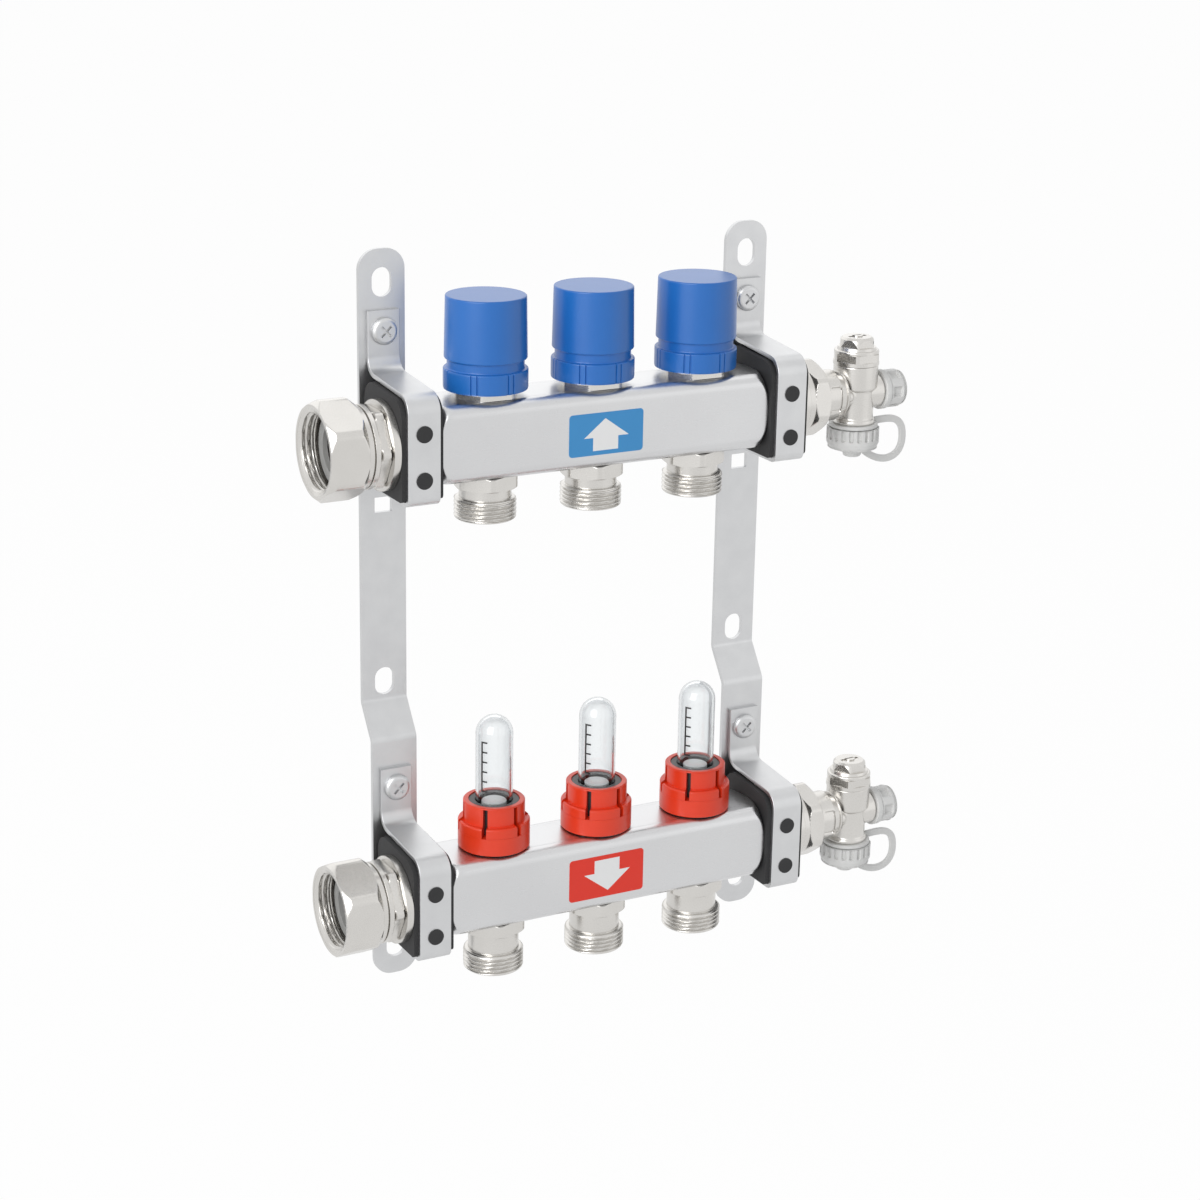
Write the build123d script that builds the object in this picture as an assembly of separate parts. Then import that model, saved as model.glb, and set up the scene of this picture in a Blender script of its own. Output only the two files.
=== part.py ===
from build123d import *
from math import atan2, sqrt, tan
import os

# Floor-heating manifold for three circuits, hung on a wall by two metal strips.
# The upper bar is the return, with three blue valve caps. The lower bar is the supply,
# with three flow meters. Water comes in and out through the union nuts on the left,
# and each right end has an air vent, a side plug and a hose outlet with a cap.
#
# X runs along the bars to the right, Y into the wall, and Z up. The origin is on the wall,
# on the left strip's middle line, halfway between its two wall slots.

# Layout of the circuits, the strips and the bars
CIRCUITS = 3
CIRCUIT_PITCH = 50.0
STRIP_SPACING = 174.0
SLOT_SPACING = 173.0
UPPER_AXIS_Z = 24.0
BAR_SPACING = 197.5
BAR_TO_STRIP = 21.6
RUNNING_FIT = 0.05
LOOSE_FIT = 0.3
FACE_FIT = 0.1

# Wall strips
STRIP_WIDTH = 20.6
STRIP_T = 2.0
STRIP_END_R = 8.6
STRIP_BEND_R = 2.5
JOGGLE = 10.3
JOGGLE_HEIGHT = 14.6
JOGGLE_BELOW_SLOT = 8.8
SLOT_WIDTH = 8.8
SLOT_LENGTH = 12.2
SLOT_TO_END = 13.9
WINDOW_WIDTH = 7.8
WINDOW_HEIGHT = 6.6
WINDOW_BELOW_AXIS = 32.0
STRIP_BELOW_AXIS = 45.9

# Clamps, seen from the side, with heights from the bar's axis
CLAMP_WIDTH = 14.4
CLAMP_T = 2.0
TAB_TOP = 51.2
ARM_BACK_Z = 26.8
ARM_FRONT_Z = 23.6
ARM_BEND_R = 7.0
FLANGE_BOTTOM = 22.5
FLANGE_BEND_R = 3.0
TONGUE_WIDTH = 8.0
TONGUE_CLEARANCE = 0.2

# Clamp screws
SCREW_Z = 42.6
SCREW_R = 3.0
SCREW_HEAD_R = 5.8
SCREW_HEAD_H = 2.6
SCREW_RECESS = 1.4
SCREW_CROSS = 6.0
SCREW_CROSS_W = 1.1
SCREW_EDGE_R = 1.8

# Rubber inserts
RUBBER_WIDTH = 18.4
RUBBER_FRONT = 4.0
RUBBER_BACK_GAP = 2.5
RUBBER_CORNER_R = 8.0
RUBBER_FOOT_R = 2.0
PEG_R = 3.5
PEG_SPACING = 19.4
PEG_Z = -1.7
PEG_PROUD = 0.5
PEG_CLEARANCE = 0.1

# Bars: rounded-square tube with domed ends and round necks
BAR_SIZE = 33.0
BAR_CORNER_R = 5.0
BAR_WALL = 2.0
DOME_R = 7.3
NECK_R = 14.3
NECK_BORE_R = 12.0

# Hexagons have their corners turned off a little
HEX_CORNER = 0.96

# Outlet nipples below the bars
NIPPLE_HEX = 25.0
NIPPLE_HEX_H = 6.0
NIPPLE_NECK_R = 11.1
NIPPLE_THREAD_R = 13.2
NIPPLE_THREAD_L = 9.2
NIPPLE_CHAMFER = 0.8
NIPPLE_BORE_R = 8.0
NIPPLE_SEAT_R = 9.9
NIPPLE_SEAT_DEPTH = 5.0
NIPPLE_SPIGOT_R = 10.4
NIPPLE_SPIGOT_UP = 1.0
UPPER_NIPPLE_DROP = 19.5
LOWER_NIPPLE_DROP = 24.0

# Return valves: insert, spindle and blue cap
VALVE_TRAVEL = 3.0
INSERT_HEX = 25.0
INSERT_HEX_H = 2.4
INSERT_SPIGOT_R = 10.6
INSERT_SPIGOT_DOWN = 4.0
INSERT_THREAD_R = 15.0
INSERT_THREAD_TOP = 14.0
INSERT_NECK_R = 8.0
INSERT_TOP = 20.0
SPINDLE_R = 2.0
SPINDLE_TOP = 27.0
SPINDLE_DISC_R = 9.2
SPINDLE_DISC_H = 2.6
CAP_TOP_R = 16.85
CAP_BODY_R = 17.35
CAP_GROOVE_R = 16.1
CAP_SKIRT_R = 17.7
CAP_WALL = 2.2
CAP_SKIRT_H = 9.8
CAP_GROOVE_H = 2.4
CAP_BODY_H = 26.2
CAP_LIFT = 3.7
CAP_EDGE_R = 0.9
CAP_BOSS_R = 4.0
GRIP_PAIRS = 7
GRIP_PAIR_ANGLE = 8.5
GRIP_TURN = -41.0
GRIP_W = 0.7
GRIP_DEPTH = 0.5

# Flow meters: bush, sight glass, float and red ring
BUSH_R = 11.0
BUSH_FLANGE_R = 14.0
BUSH_FLANGE_H = 2.4
BUSH_HEIGHT = 21.3
BUSH_SPIGOT_R = 10.6
BUSH_SPIGOT_DOWN = 4.0
BUSH_BORE_R = 3.0
GLASS_R = 8.1
GLASS_WALL = 1.2
GLASS_CROWN = 0.2
GLASS_HEIGHT = 59.7
GLASS_SEAT = 7.0
FLOAT_STEM_R = 1.2
FLOAT_DISC_R = 5.4
FLOAT_DISC_H = 2.0
FLOAT_TRAVEL = 22.0
FLOAT_PLATE_R = 7.5
RING_LOWER_R = 15.6
RING_UPPER_R = 13.4
RING_LOWER_H = 10.5
RING_UPPER_H = 8.7
RING_EDGE_R = 0.6
RING_SLOTS = 6
RING_SLOT_W = 2.0
RING_SLOT_LOW = 6.0
RING_SLOT_RIM = 1.4
RING_SLOT_TURN = -42.0

# Left ends: union tail, gasket and union nut
TAIL_COLLAR_R = 19.0
TAIL_COLLAR_L = 3.8
TAIL_HEX = 31.5
TAIL_HEX_L = 3.7
TAIL_RING_R = 17.6
TAIL_RING_L = 3.1
TAIL_RING_GROOVE = 0.6
TAIL_RING_GAP = 0.4
TAIL_COLLAR_EDGE = 0.6
TAIL_HEX_CHAMFER = 1.0
TAIL_TUBE_R = 13.0
TAIL_BORE_R = 10.5
TAIL_FLANGE_R = 14.8
TAIL_FLANGE_L = 2.4
TAIL_SPIGOT_L = 13.0
GASKET_T = 2.0
NUT_HEX = 38.4
NUT_L = 16.6
NUT_BACK_WALL = 3.6
NUT_THREAD_R = 16.6
NUT_RELIEF_R = 17.1
NUT_FACE_R = 19.4
NUT_CHAMFER_L = 2.4

# Right ends: end body, nut, vent cap, side plug, hose cap and strap
END_SPIGOT_L = 13.0
END_COLLAR_L = 4.0
END_NUT_HEX = 30.6
END_NUT_L = 10.6
END_NUT_FACE_R = 15.4
END_NUT_FACE_L = 3.0
END_NUT_CHAMFER_L = 1.2
END_NUT_TURN = -7.5
END_THREAD_R = 11.0
END_ARM_R = 11.4
END_ARM_L = 12.0
END_ARM_EDGE_R = 3.2
END_RECESS_W = 5.4
END_RECESS_H = 12.4
END_RECESS_DEPTH = 1.0
END_RECESS_EDGE_R = 1.0
END_AXIS_OUT = 36.8
END_TOWER_R = 10.0
END_TOWER_TOP = 13.0
END_WAIST_R = 8.6
END_WAIST_TOP = 1.4
END_WAIST_SLOPE = 1.2
END_TOP_EDGE_R = 0.8
END_BRIDGE_R = 7.6
END_BALL_R = 2.6
END_BALL_OUT = 7.0
END_BALL_BACK = 8.0
END_BOTTOM = 12.0
END_FOOT_R = 9.4
END_FOOT_L = 1.8
HOSE_THREAD_R = 8.4
HOSE_THREAD_L = 9.0
HOSE_BORE_R = 6.0
SIDE_BOSS_R = 7.6
SIDE_BOSS_OUT = 11.6
SIDE_BOSS_EDGE_R = 1.5
SIDE_THREAD_R = 5.6
SIDE_THREAD_L = 6.0
VENT_SOCKET_R = 5.0
VENT_RING_R = 10.3
VENT_RING_H = 1.8
VENT_HEX = 19.4
VENT_HEX_H = 3.4
VENT_COLLAR_R = 10.0
VENT_COLLAR_H = 1.6
VENT_COLLAR_EDGE_R = 0.7
VENT_CAP_R = 8.8
VENT_CAP_TOP_R = 7.4
VENT_CAP_H = 5.6
VENT_CAP_FLATS = 14.6
VENT_CAP_FOOT = 1.2
VENT_TOP_EDGE = 1.0
VENT_SLOT_W = 1.8
VENT_SLOT_L = 9.0
VENT_SLOT_DEPTH = 0.8
VENT_SPINDLE_R = 2.4
VENT_SPINDLE_UP = 0.5
VENT_SPINDLE_SLOT = 0.9
VENT_HOLE_R = 1.1
VENT_HOLE_TURN = 40.0
VENT_STEM_L = 6.0
PLUG_FLANGE_R = 8.9
PLUG_FLANGE_L = 2.6
PLUG_R = 8.5
PLUG_L = 8.4
PLUG_EDGE_R = 1.6
PLUG_RECESSES = 6
PLUG_RECESS = 5.0
PLUG_RECESS_DEPTH = 1.2
PLUG_RECESS_START = 1.0
HOSE_CAP_R = 11.8
HOSE_CAP_H = 9.0
HOSE_CAP_EDGE_R = 2.4
HOSE_CAP_SLOTS = 20
HOSE_SLOT_W = 1.7
HOSE_SLOT_H = 5.0
HOSE_SLOT_DEPTH = 0.9
BUTTON_R = 4.2
BUTTON_H = 2.8
STRAP_RING_R = 11.0
STRAP_T = 1.6
STRAP_W = 3.4
STRAP_REACH = 28.0
STRAP_BUTTON_RIM = 2.6
STRAP_SAG = 1.0

# Values worked out from the sizes above
BAR_MIDDLE_X = STRIP_SPACING / 2
NECK_END = (STRIP_SPACING + RUBBER_WIDTH) / 2
SHOULDER = (STRIP_SPACING - RUBBER_WIDTH) / 2
BAR_HALF = BAR_SIZE / 2
BAR_TOP = BAR_HALF
UPPER_SLOT_Z = SLOT_SPACING / 2
STRIP_TOP_Z = UPPER_SLOT_Z + SLOT_TO_END
BEND_Z = -UPPER_SLOT_Z - JOGGLE_BELOW_SLOT
LOWER_AXIS_Z = UPPER_AXIS_Z - BAR_SPACING
STRIP_BOTTOM_Z = LOWER_AXIS_Z - STRIP_BELOW_AXIS
STRIP_FACE = {"upper": -STRIP_T, "lower": -STRIP_T - JOGGLE}
AXIS_Z = {"upper": UPPER_AXIS_Z, "lower": LOWER_AXIS_Z}
STRIP_X = {"left": 0.0, "right": STRIP_SPACING}
NIPPLE_DROP = {"upper": UPPER_NIPPLE_DROP, "lower": LOWER_NIPPLE_DROP}
CIRCUIT_X = [BAR_MIDDLE_X + CIRCUIT_PITCH * (i - (CIRCUITS - 1) / 2) for i in range(CIRCUITS)]
FLANGE_FACE = BAR_TO_STRIP + BAR_HALF + RUBBER_FRONT - CLAMP_T
TONGUE_Z = CLAMP_T / 2 - FLANGE_BOTTOM
NUT_START = TAIL_COLLAR_L + TAIL_HEX_L + 2 * TAIL_RING_L + LOOSE_FIT
FLANGE_START = NUT_START + NUT_BACK_WALL + LOOSE_FIT
END_COLLAR_R = BAR_HALF - LOOSE_FIT
LEFT_NECK_X = -RUBBER_WIDTH / 2
RIGHT_NECK_X = STRIP_SPACING + RUBBER_WIDTH / 2
TOWER_X = RIGHT_NECK_X + END_AXIS_OUT
HOSE_SEAT_Z = -END_BOTTOM - END_FOOT_L
ARM_START = END_COLLAR_L + END_NUT_L


def at_level(level, x=0.0):
    """The place on a bar's axis at the given X."""
    return Pos(x, STRIP_FACE[level] - BAR_TO_STRIP, AXIS_Z[level])


def pointing_right(part):
    """Turns a part made along +Z to lie along +X."""
    return Rot(0, 90, 0) * part


def pointing_left(part):
    """Turns a part made along +Z to lie along -X."""
    return Rot(0, -90, 0) * part


def turned(points, rounds=()):
    """Revolves an outline of (radius, height) points about Z, with some corners rounded."""
    face = make_face(Polyline(*points, close=True))
    for point, radius in rounds:
        corner = face.vertices().sort_by_distance(Vector(*point))[0]
        face = fillet(corner, radius)
    return revolve(Plane.XZ * face, Axis.Z)


def disc(radius, low, high):
    """A plain cylinder about Z between two heights."""
    return Pos(0, 0, (low + high) / 2) * Cylinder(radius, high - low)


def hexagon(across_flats, low, high, turn=0.0):
    """A hexagonal prism about Z whose corners are turned off to a cylinder."""
    sides = extrude(RegularPolygon(across_flats / 2, 6, major_radius=False, rotation=turn), high - low)
    return (Pos(0, 0, low) * sides) & disc(across_flats / sqrt(3) * HEX_CORNER, low, high)


def nut_blank(across_flats, low, high, face_r, chamfer_l, turn=0.0):
    """A hexagon whose two ends are chamfered down to round faces."""
    corner_r = across_flats / sqrt(3) * HEX_CORNER
    cone = turned([(0, low), (face_r, low), (corner_r, low + chamfer_l), (corner_r, high - chamfer_l),
                   (face_r, high), (0, high)])
    return extrude(RegularPolygon(across_flats / 2, 6, major_radius=False, rotation=turn), high) & cone


def around(count, radius, tool, turn=0.0):
    """Copies of a tool at a radius round Z. A turn of 0 starts at the front, and positive turns go right."""
    copies = []
    for i in range(count):
        angle = turn + i * 360 / count
        copies.append(Rot(0, 0, angle) * Pos(0, -radius, 0) * tool)
    return copies


def bar(level, top_hole_r):
    """A rounded-square tube whose ends are domed down to round necks, with its row of holes."""
    section = RectangleRounded(BAR_SIZE, BAR_SIZE, BAR_CORNER_R)
    corner_reach = (BAR_HALF - BAR_CORNER_R) * sqrt(2) + BAR_CORNER_R + LOOSE_FIT
    dome_end = SHOULDER + DOME_R - sqrt(DOME_R ** 2 - (BAR_HALF - corner_reach + DOME_R) ** 2)
    barrel = turned([(0, -dome_end), (corner_reach, -dome_end), (corner_reach, dome_end), (0, dome_end)],
                    [((corner_reach, -dome_end), DOME_R), ((corner_reach, dome_end), DOME_R)])
    body = extrude(Plane.YZ * section, SHOULDER, both=True) & pointing_right(barrel)
    body += pointing_right(disc(NECK_R, -NECK_END, NECK_END))
    inner_size = BAR_SIZE - 2 * BAR_WALL
    inside = RectangleRounded(inner_size, inner_size, BAR_CORNER_R - BAR_WALL)
    body -= extrude(Plane.YZ * inside, SHOULDER - DOME_R, both=True)
    body -= pointing_right(disc(NECK_BORE_R, -NECK_END, NECK_END))
    for x in CIRCUIT_X:
        body -= Pos(x - BAR_MIDDLE_X, 0, 0) * disc(top_hole_r, 0, BAR_SIZE)
        body -= Pos(x - BAR_MIDDLE_X, 0, 0) * disc(NIPPLE_SPIGOT_R, -BAR_SIZE, 0)
    return at_level(level, BAR_MIDDLE_X) * body


def strip_side():
    """The strip's outline seen from its side, as (Y, Z) points from its back face."""
    lean = atan2(JOGGLE, JOGGLE_HEIGHT)
    rise = STRIP_T * tan(lean / 2)
    step_low = BEND_Z - JOGGLE_HEIGHT
    return [(0, STRIP_TOP_Z), (0, BEND_Z), (-JOGGLE, step_low), (-JOGGLE, STRIP_BOTTOM_Z),
            (-JOGGLE - STRIP_T, STRIP_BOTTOM_Z), (-JOGGLE - STRIP_T, step_low + rise),
            (-STRIP_T, BEND_Z + rise), (-STRIP_T, STRIP_TOP_Z)]


def wall_strip(side):
    """A flat strip with a forward step, rounded ends, three wall slots and the clamps' windows."""
    outline = strip_side()
    face = make_face(Polyline(*outline, close=True))
    bends = {1: STRIP_BEND_R + STRIP_T, 2: STRIP_BEND_R, 5: STRIP_BEND_R + STRIP_T, 6: STRIP_BEND_R}
    for index, radius in bends.items():
        face = fillet(face.vertices().sort_by_distance(Vector(*outline[index]))[0], radius)
    strip = extrude(Plane.YZ * face, STRIP_WIDTH / 2, both=True)
    length = STRIP_TOP_Z - STRIP_BOTTOM_Z
    reach = JOGGLE + 2 * STRIP_T
    front = Pos(0, (STRIP_TOP_Z + STRIP_BOTTOM_Z) / 2) * RectangleRounded(STRIP_WIDTH, length, STRIP_END_R)
    strip &= extrude(Plane.XZ * front, reach, both=True)
    slot = extrude(Plane.XZ * Rot(0, 0, 90) * SlotOverall(SLOT_LENGTH, SLOT_WIDTH), reach, both=True)
    for z in (UPPER_SLOT_Z, -UPPER_SLOT_Z, STRIP_BOTTOM_Z + SLOT_TO_END):
        strip -= Pos(0, 0, z) * slot
    for level in AXIS_Z:
        z = AXIS_Z[level]
        strip -= Pos(0, 0, z - WINDOW_BELOW_AXIS) * Box(WINDOW_WIDTH, 2 * reach, WINDOW_HEIGHT)
        gap = 2 * TONGUE_CLEARANCE
        strip -= Pos(0, 0, z + TONGUE_Z) * Box(TONGUE_WIDTH + gap, 2 * reach, CLAMP_T + gap)
        strip -= Pos(0, 0, z + SCREW_Z) * Rot(90, 0, 0) * Cylinder(SCREW_R, 2 * reach)
    return Pos(STRIP_X[side], 0, 0) * strip


def clamp(level, side):
    """A bent strap: tab on the strip, arm over the bar's neck, front flange and an arm back to the strip."""
    tab_y = -CLAMP_T / 2
    flange_y = -FLANGE_FACE - CLAMP_T / 2
    arm_z = ARM_BACK_Z - CLAMP_T / 2
    corners = [(0, tab_y, TAB_TOP), (0, tab_y, arm_z), (0, flange_y, ARM_FRONT_Z - CLAMP_T / 2),
               (0, flange_y, TONGUE_Z), (0, 0, TONGUE_Z)]
    path = FilletPolyline(*corners, radius=[ARM_BEND_R, ARM_BEND_R, FLANGE_BEND_R])
    section = Plane(origin=corners[0], x_dir=(1, 0, 0), z_dir=(0, 0, -1)) * Rectangle(CLAMP_WIDTH, CLAMP_T)
    strap = sweep(section, path)
    strap += Pos(0, STRIP_T / 2, TONGUE_Z) * Box(TONGUE_WIDTH, STRIP_T, CLAMP_T)
    strap -= Pos(0, 0, SCREW_Z) * Rot(90, 0, 0) * Cylinder(SCREW_R, 4 * CLAMP_T)
    for z in (PEG_Z - PEG_SPACING / 2, PEG_Z + PEG_SPACING / 2):
        strap -= Pos(0, flange_y, z) * Rot(90, 0, 0) * Cylinder(PEG_R + PEG_CLEARANCE, 2 * CLAMP_T)
    return Pos(STRIP_X[side], STRIP_FACE[level], AXIS_Z[level]) * strap


def clamp_screw():
    """A pan-head screw with a cross recess, made along -Y from the clamp's tab."""
    tip = -STRIP_T - CLAMP_T
    screw = turned([(0, tip), (SCREW_R, tip), (SCREW_R, 0), (SCREW_HEAD_R, 0), (SCREW_HEAD_R, SCREW_HEAD_H),
                    (0, SCREW_HEAD_H)], [((SCREW_HEAD_R, SCREW_HEAD_H), SCREW_EDGE_R)])
    for turn in (0, 90):
        recess = Box(SCREW_CROSS, SCREW_CROSS_W, 2 * SCREW_RECESS)
        screw -= Pos(0, 0, SCREW_HEAD_H) * Rot(0, 0, turn + 45) * recess
    return Rot(90, 0, 0) * screw


def clamp_screws():
    """The four screws that hold the clamps to the strips."""
    screws = []
    for level in AXIS_Z:
        for side in STRIP_X:
            place = Pos(STRIP_X[side], STRIP_FACE[level] - CLAMP_T, AXIS_Z[level] + SCREW_Z)
            screws.append(place * clamp_screw())
    return Compound(children=screws)


def rubber_insert(level, side):
    """A rubber block round the bar's neck, with two pegs that show through the clamp's flange."""
    front = -FLANGE_FACE
    back = -RUBBER_BACK_GAP
    floor = CLAMP_T - FLANGE_BOTTOM
    slope = (ARM_BACK_Z - ARM_FRONT_Z) / (FLANGE_FACE + CLAMP_T)
    roof_front = ARM_FRONT_Z - CLAMP_T - LOOSE_FIT
    roof_back = roof_front + slope * (back - front)
    outline = [(front, floor), (front, roof_front), (back, roof_back), (back, floor)]
    face = make_face(Polyline(*outline, close=True))
    rounds = (RUBBER_FOOT_R, RUBBER_CORNER_R, RUBBER_CORNER_R, RUBBER_CORNER_R)
    for point, radius in zip(outline, rounds):
        face = fillet(face.vertices().sort_by_distance(Vector(*point))[0], radius)
    block = extrude(Plane.YZ * face, RUBBER_WIDTH / 2, both=True)
    block -= Pos(0, -BAR_TO_STRIP, 0) * pointing_right(disc(NECK_R, -RUBBER_WIDTH, RUBBER_WIDTH))
    peg_length = CLAMP_T + PEG_PROUD
    for z in (PEG_Z - PEG_SPACING / 2, PEG_Z + PEG_SPACING / 2):
        block += Pos(0, front, z) * Rot(90, 0, 0) * disc(PEG_R, -PEG_PROUD, peg_length)
    return Pos(STRIP_X[side], STRIP_FACE[level], AXIS_Z[level]) * block


def outlet_nipple(level, x):
    """A hexagon, neck and threaded end below the bar, with a conical seat for the pipe."""
    end = -BAR_HALF - NIPPLE_DROP[level]
    thread_top = end + NIPPLE_THREAD_L
    hex_low = -BAR_HALF - NIPPLE_HEX_H
    body = turned([(0, hex_low), (NIPPLE_NECK_R, hex_low), (NIPPLE_NECK_R, thread_top),
                   (NIPPLE_THREAD_R, thread_top), (NIPPLE_THREAD_R, end), (0, end)])
    rims = [e for e in body.edges().filter_by(GeomType.CIRCLE) if abs(e.radius - NIPPLE_THREAD_R) < 1e-6]
    body = chamfer(rims, NIPPLE_CHAMFER)
    body += hexagon(NIPPLE_HEX, hex_low, -BAR_HALF)
    body += disc(NIPPLE_SPIGOT_R, -BAR_HALF, -BAR_HALF + BAR_WALL + NIPPLE_SPIGOT_UP)
    body -= disc(NIPPLE_BORE_R, end, 0)
    seat_top = end + NIPPLE_SEAT_DEPTH
    body -= turned([(0, end), (NIPPLE_SEAT_R, end), (NIPPLE_BORE_R, seat_top), (0, seat_top)])
    return at_level(level, x) * body


def valve_insert(x):
    """The return valve's body: spigot in the bar, hexagon, cap thread and a neck that guides the spindle."""
    spigot_low = BAR_TOP - BAR_WALL - INSERT_SPIGOT_DOWN
    hex_top = BAR_TOP + INSERT_HEX_H
    body = disc(INSERT_SPIGOT_R, spigot_low, BAR_TOP)
    body += hexagon(INSERT_HEX, BAR_TOP, hex_top)
    body += disc(INSERT_THREAD_R, hex_top, BAR_TOP + INSERT_THREAD_TOP)
    body += disc(INSERT_NECK_R, BAR_TOP + INSERT_THREAD_TOP, BAR_TOP + INSERT_TOP)
    body -= disc(SPINDLE_R + RUNNING_FIT, spigot_low, BAR_TOP + INSERT_TOP)
    return at_level("upper", x) * body


def valve_spindle(x):
    """The return valve's stem and closing disc."""
    seat = -BAR_HALF + BAR_WALL + NIPPLE_SPIGOT_UP
    disc_low = seat + LOOSE_FIT + VALVE_TRAVEL
    stem = disc(SPINDLE_R, disc_low, BAR_TOP + SPINDLE_TOP)
    stem += disc(SPINDLE_DISC_R, disc_low, disc_low + SPINDLE_DISC_H)
    return at_level("upper", x) * stem


def valve_cap(x):
    """The blue cap: body, groove and gripped skirt, hollow over the insert, with a boss on the spindle."""
    low = BAR_TOP + CAP_LIFT
    groove_low = low + CAP_SKIRT_H
    body_low = groove_low + CAP_GROOVE_H
    top = body_low + CAP_BODY_H
    outer = [(0, low), (CAP_SKIRT_R, low), (CAP_SKIRT_R, groove_low), (CAP_GROOVE_R, groove_low),
             (CAP_GROOVE_R, body_low), (CAP_BODY_R, body_low), (CAP_TOP_R, top), (0, top)]
    cap = turned(outer, [((CAP_TOP_R, top), CAP_EDGE_R), ((CAP_BODY_R, body_low), CAP_EDGE_R),
                         ((CAP_SKIRT_R, groove_low), CAP_EDGE_R)])
    grip = Box(GRIP_W, 2 * GRIP_DEPTH, CAP_SKIRT_H)
    for turn in (GRIP_TURN - GRIP_PAIR_ANGLE / 2, GRIP_TURN + GRIP_PAIR_ANGLE / 2):
        cap -= around(GRIP_PAIRS, CAP_SKIRT_R, Pos(0, 0, low + CAP_SKIRT_H / 2) * grip, turn)
    thread_top = BAR_TOP + INSERT_THREAD_TOP + VALVE_TRAVEL + LOOSE_FIT
    cap -= disc(INSERT_THREAD_R + RUNNING_FIT, low, thread_top)
    cap -= disc(CAP_GROOVE_R - CAP_WALL, thread_top, top - CAP_WALL)
    cap += disc(CAP_BOSS_R, BAR_TOP + SPINDLE_TOP, top - CAP_WALL)
    return at_level("upper", x) * cap


def flow_bush(x):
    """The flow meter's black body: spigot in the bar, flange, and a socket for the sight glass."""
    spigot_low = BAR_TOP - BAR_WALL - BUSH_SPIGOT_DOWN
    top = BAR_TOP + BUSH_HEIGHT
    flange_top = BAR_TOP + BUSH_FLANGE_H
    bush = turned([(0, spigot_low), (BUSH_SPIGOT_R, spigot_low), (BUSH_SPIGOT_R, BAR_TOP),
                   (BUSH_FLANGE_R, BAR_TOP), (BUSH_FLANGE_R, flange_top), (BUSH_R, flange_top),
                   (BUSH_R, top), (0, top)])
    bush -= disc(GLASS_R, BAR_TOP + GLASS_SEAT, top)
    bush -= disc(BUSH_BORE_R, spigot_low, top)
    return at_level("lower", x) * bush


def sight_glass(x):
    """A clear tube with a round top, seated in the bush."""
    foot = BAR_TOP + GLASS_SEAT
    top = BAR_TOP + GLASS_HEIGHT
    inner_r = GLASS_R - GLASS_WALL
    inner_top = top - GLASS_WALL
    glass = turned([(0, foot), (GLASS_R, foot), (GLASS_R, top), (0, top)],
                   [((GLASS_R, top), GLASS_R - GLASS_CROWN)])
    glass -= turned([(0, foot), (inner_r, foot), (inner_r, inner_top), (0, inner_top)],
                    [((inner_r, inner_top), inner_r - GLASS_CROWN)])
    return at_level("lower", x) * glass


def flow_float(x):
    """The flow indicator: a disc in the glass and a plate in the bar, on one thin stem."""
    disc_top = BAR_TOP + BUSH_HEIGHT - LOOSE_FIT
    plate_low = BAR_TOP - BAR_WALL - BUSH_SPIGOT_DOWN - FLOAT_TRAVEL - FLOAT_DISC_H - LOOSE_FIT
    stem = disc(FLOAT_STEM_R, plate_low, disc_top)
    stem += disc(FLOAT_DISC_R, disc_top - FLOAT_DISC_H, disc_top)
    stem += disc(FLOAT_PLATE_R, plate_low, plate_low + FLOAT_DISC_H)
    return at_level("lower", x) * stem


def flow_ring(x):
    """The red stepped ring that sets the flow, with slots that show the bush."""
    low = BAR_TOP + BUSH_FLANGE_H + FACE_FIT
    step = low + RING_LOWER_H
    top = step + RING_UPPER_H
    edges = [(RING_LOWER_R, step), (RING_UPPER_R, top), (RING_LOWER_R, low)]
    outline = [(0, low), (RING_LOWER_R, low), (RING_LOWER_R, step), (RING_UPPER_R, step), (RING_UPPER_R, top),
               (0, top)]
    ring = turned(outline, [(edge, RING_EDGE_R) for edge in edges])
    ring -= disc(BUSH_R + RUNNING_FIT, low, top)
    slot_low = low + RING_SLOT_LOW
    slot_top = top - RING_SLOT_RIM
    slot = Box(RING_SLOT_W, 2 * (RING_LOWER_R - BUSH_R), slot_top - slot_low)
    ring -= around(RING_SLOTS, RING_LOWER_R, Pos(0, 0, (slot_low + slot_top) / 2) * slot, RING_SLOT_TURN)
    return at_level("lower", x) * ring


def union_tail(level):
    """The adapter in the bar's left neck: collar, hexagon, two rings, and a flange inside the nut."""
    hex_end = TAIL_COLLAR_L + TAIL_HEX_L
    ring_end = hex_end + TAIL_RING_L
    end = FLANGE_START + TAIL_FLANGE_L
    tail = disc(NECK_BORE_R, -TAIL_SPIGOT_L, 0)
    edges = [(TAIL_COLLAR_R, 0), (TAIL_COLLAR_R, TAIL_COLLAR_L)]
    tail += turned([(0, 0), *edges, (0, TAIL_COLLAR_L)], [(edge, TAIL_COLLAR_EDGE) for edge in edges])
    tail += nut_blank(TAIL_HEX, TAIL_COLLAR_L, hex_end, TAIL_HEX / 2, TAIL_HEX_CHAMFER)
    for start in (hex_end, ring_end):
        tail += disc(TAIL_RING_R - TAIL_RING_GROOVE, start, start + TAIL_RING_L)
        tail += disc(TAIL_RING_R, start + TAIL_RING_GAP, start + TAIL_RING_L - TAIL_RING_GAP)
    tail += disc(TAIL_TUBE_R, ring_end + TAIL_RING_L, FLANGE_START)
    tail += disc(TAIL_FLANGE_R, FLANGE_START, end)
    tail -= disc(TAIL_BORE_R, -TAIL_SPIGOT_L, end)
    return at_level(level, LEFT_NECK_X) * pointing_left(tail)


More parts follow.
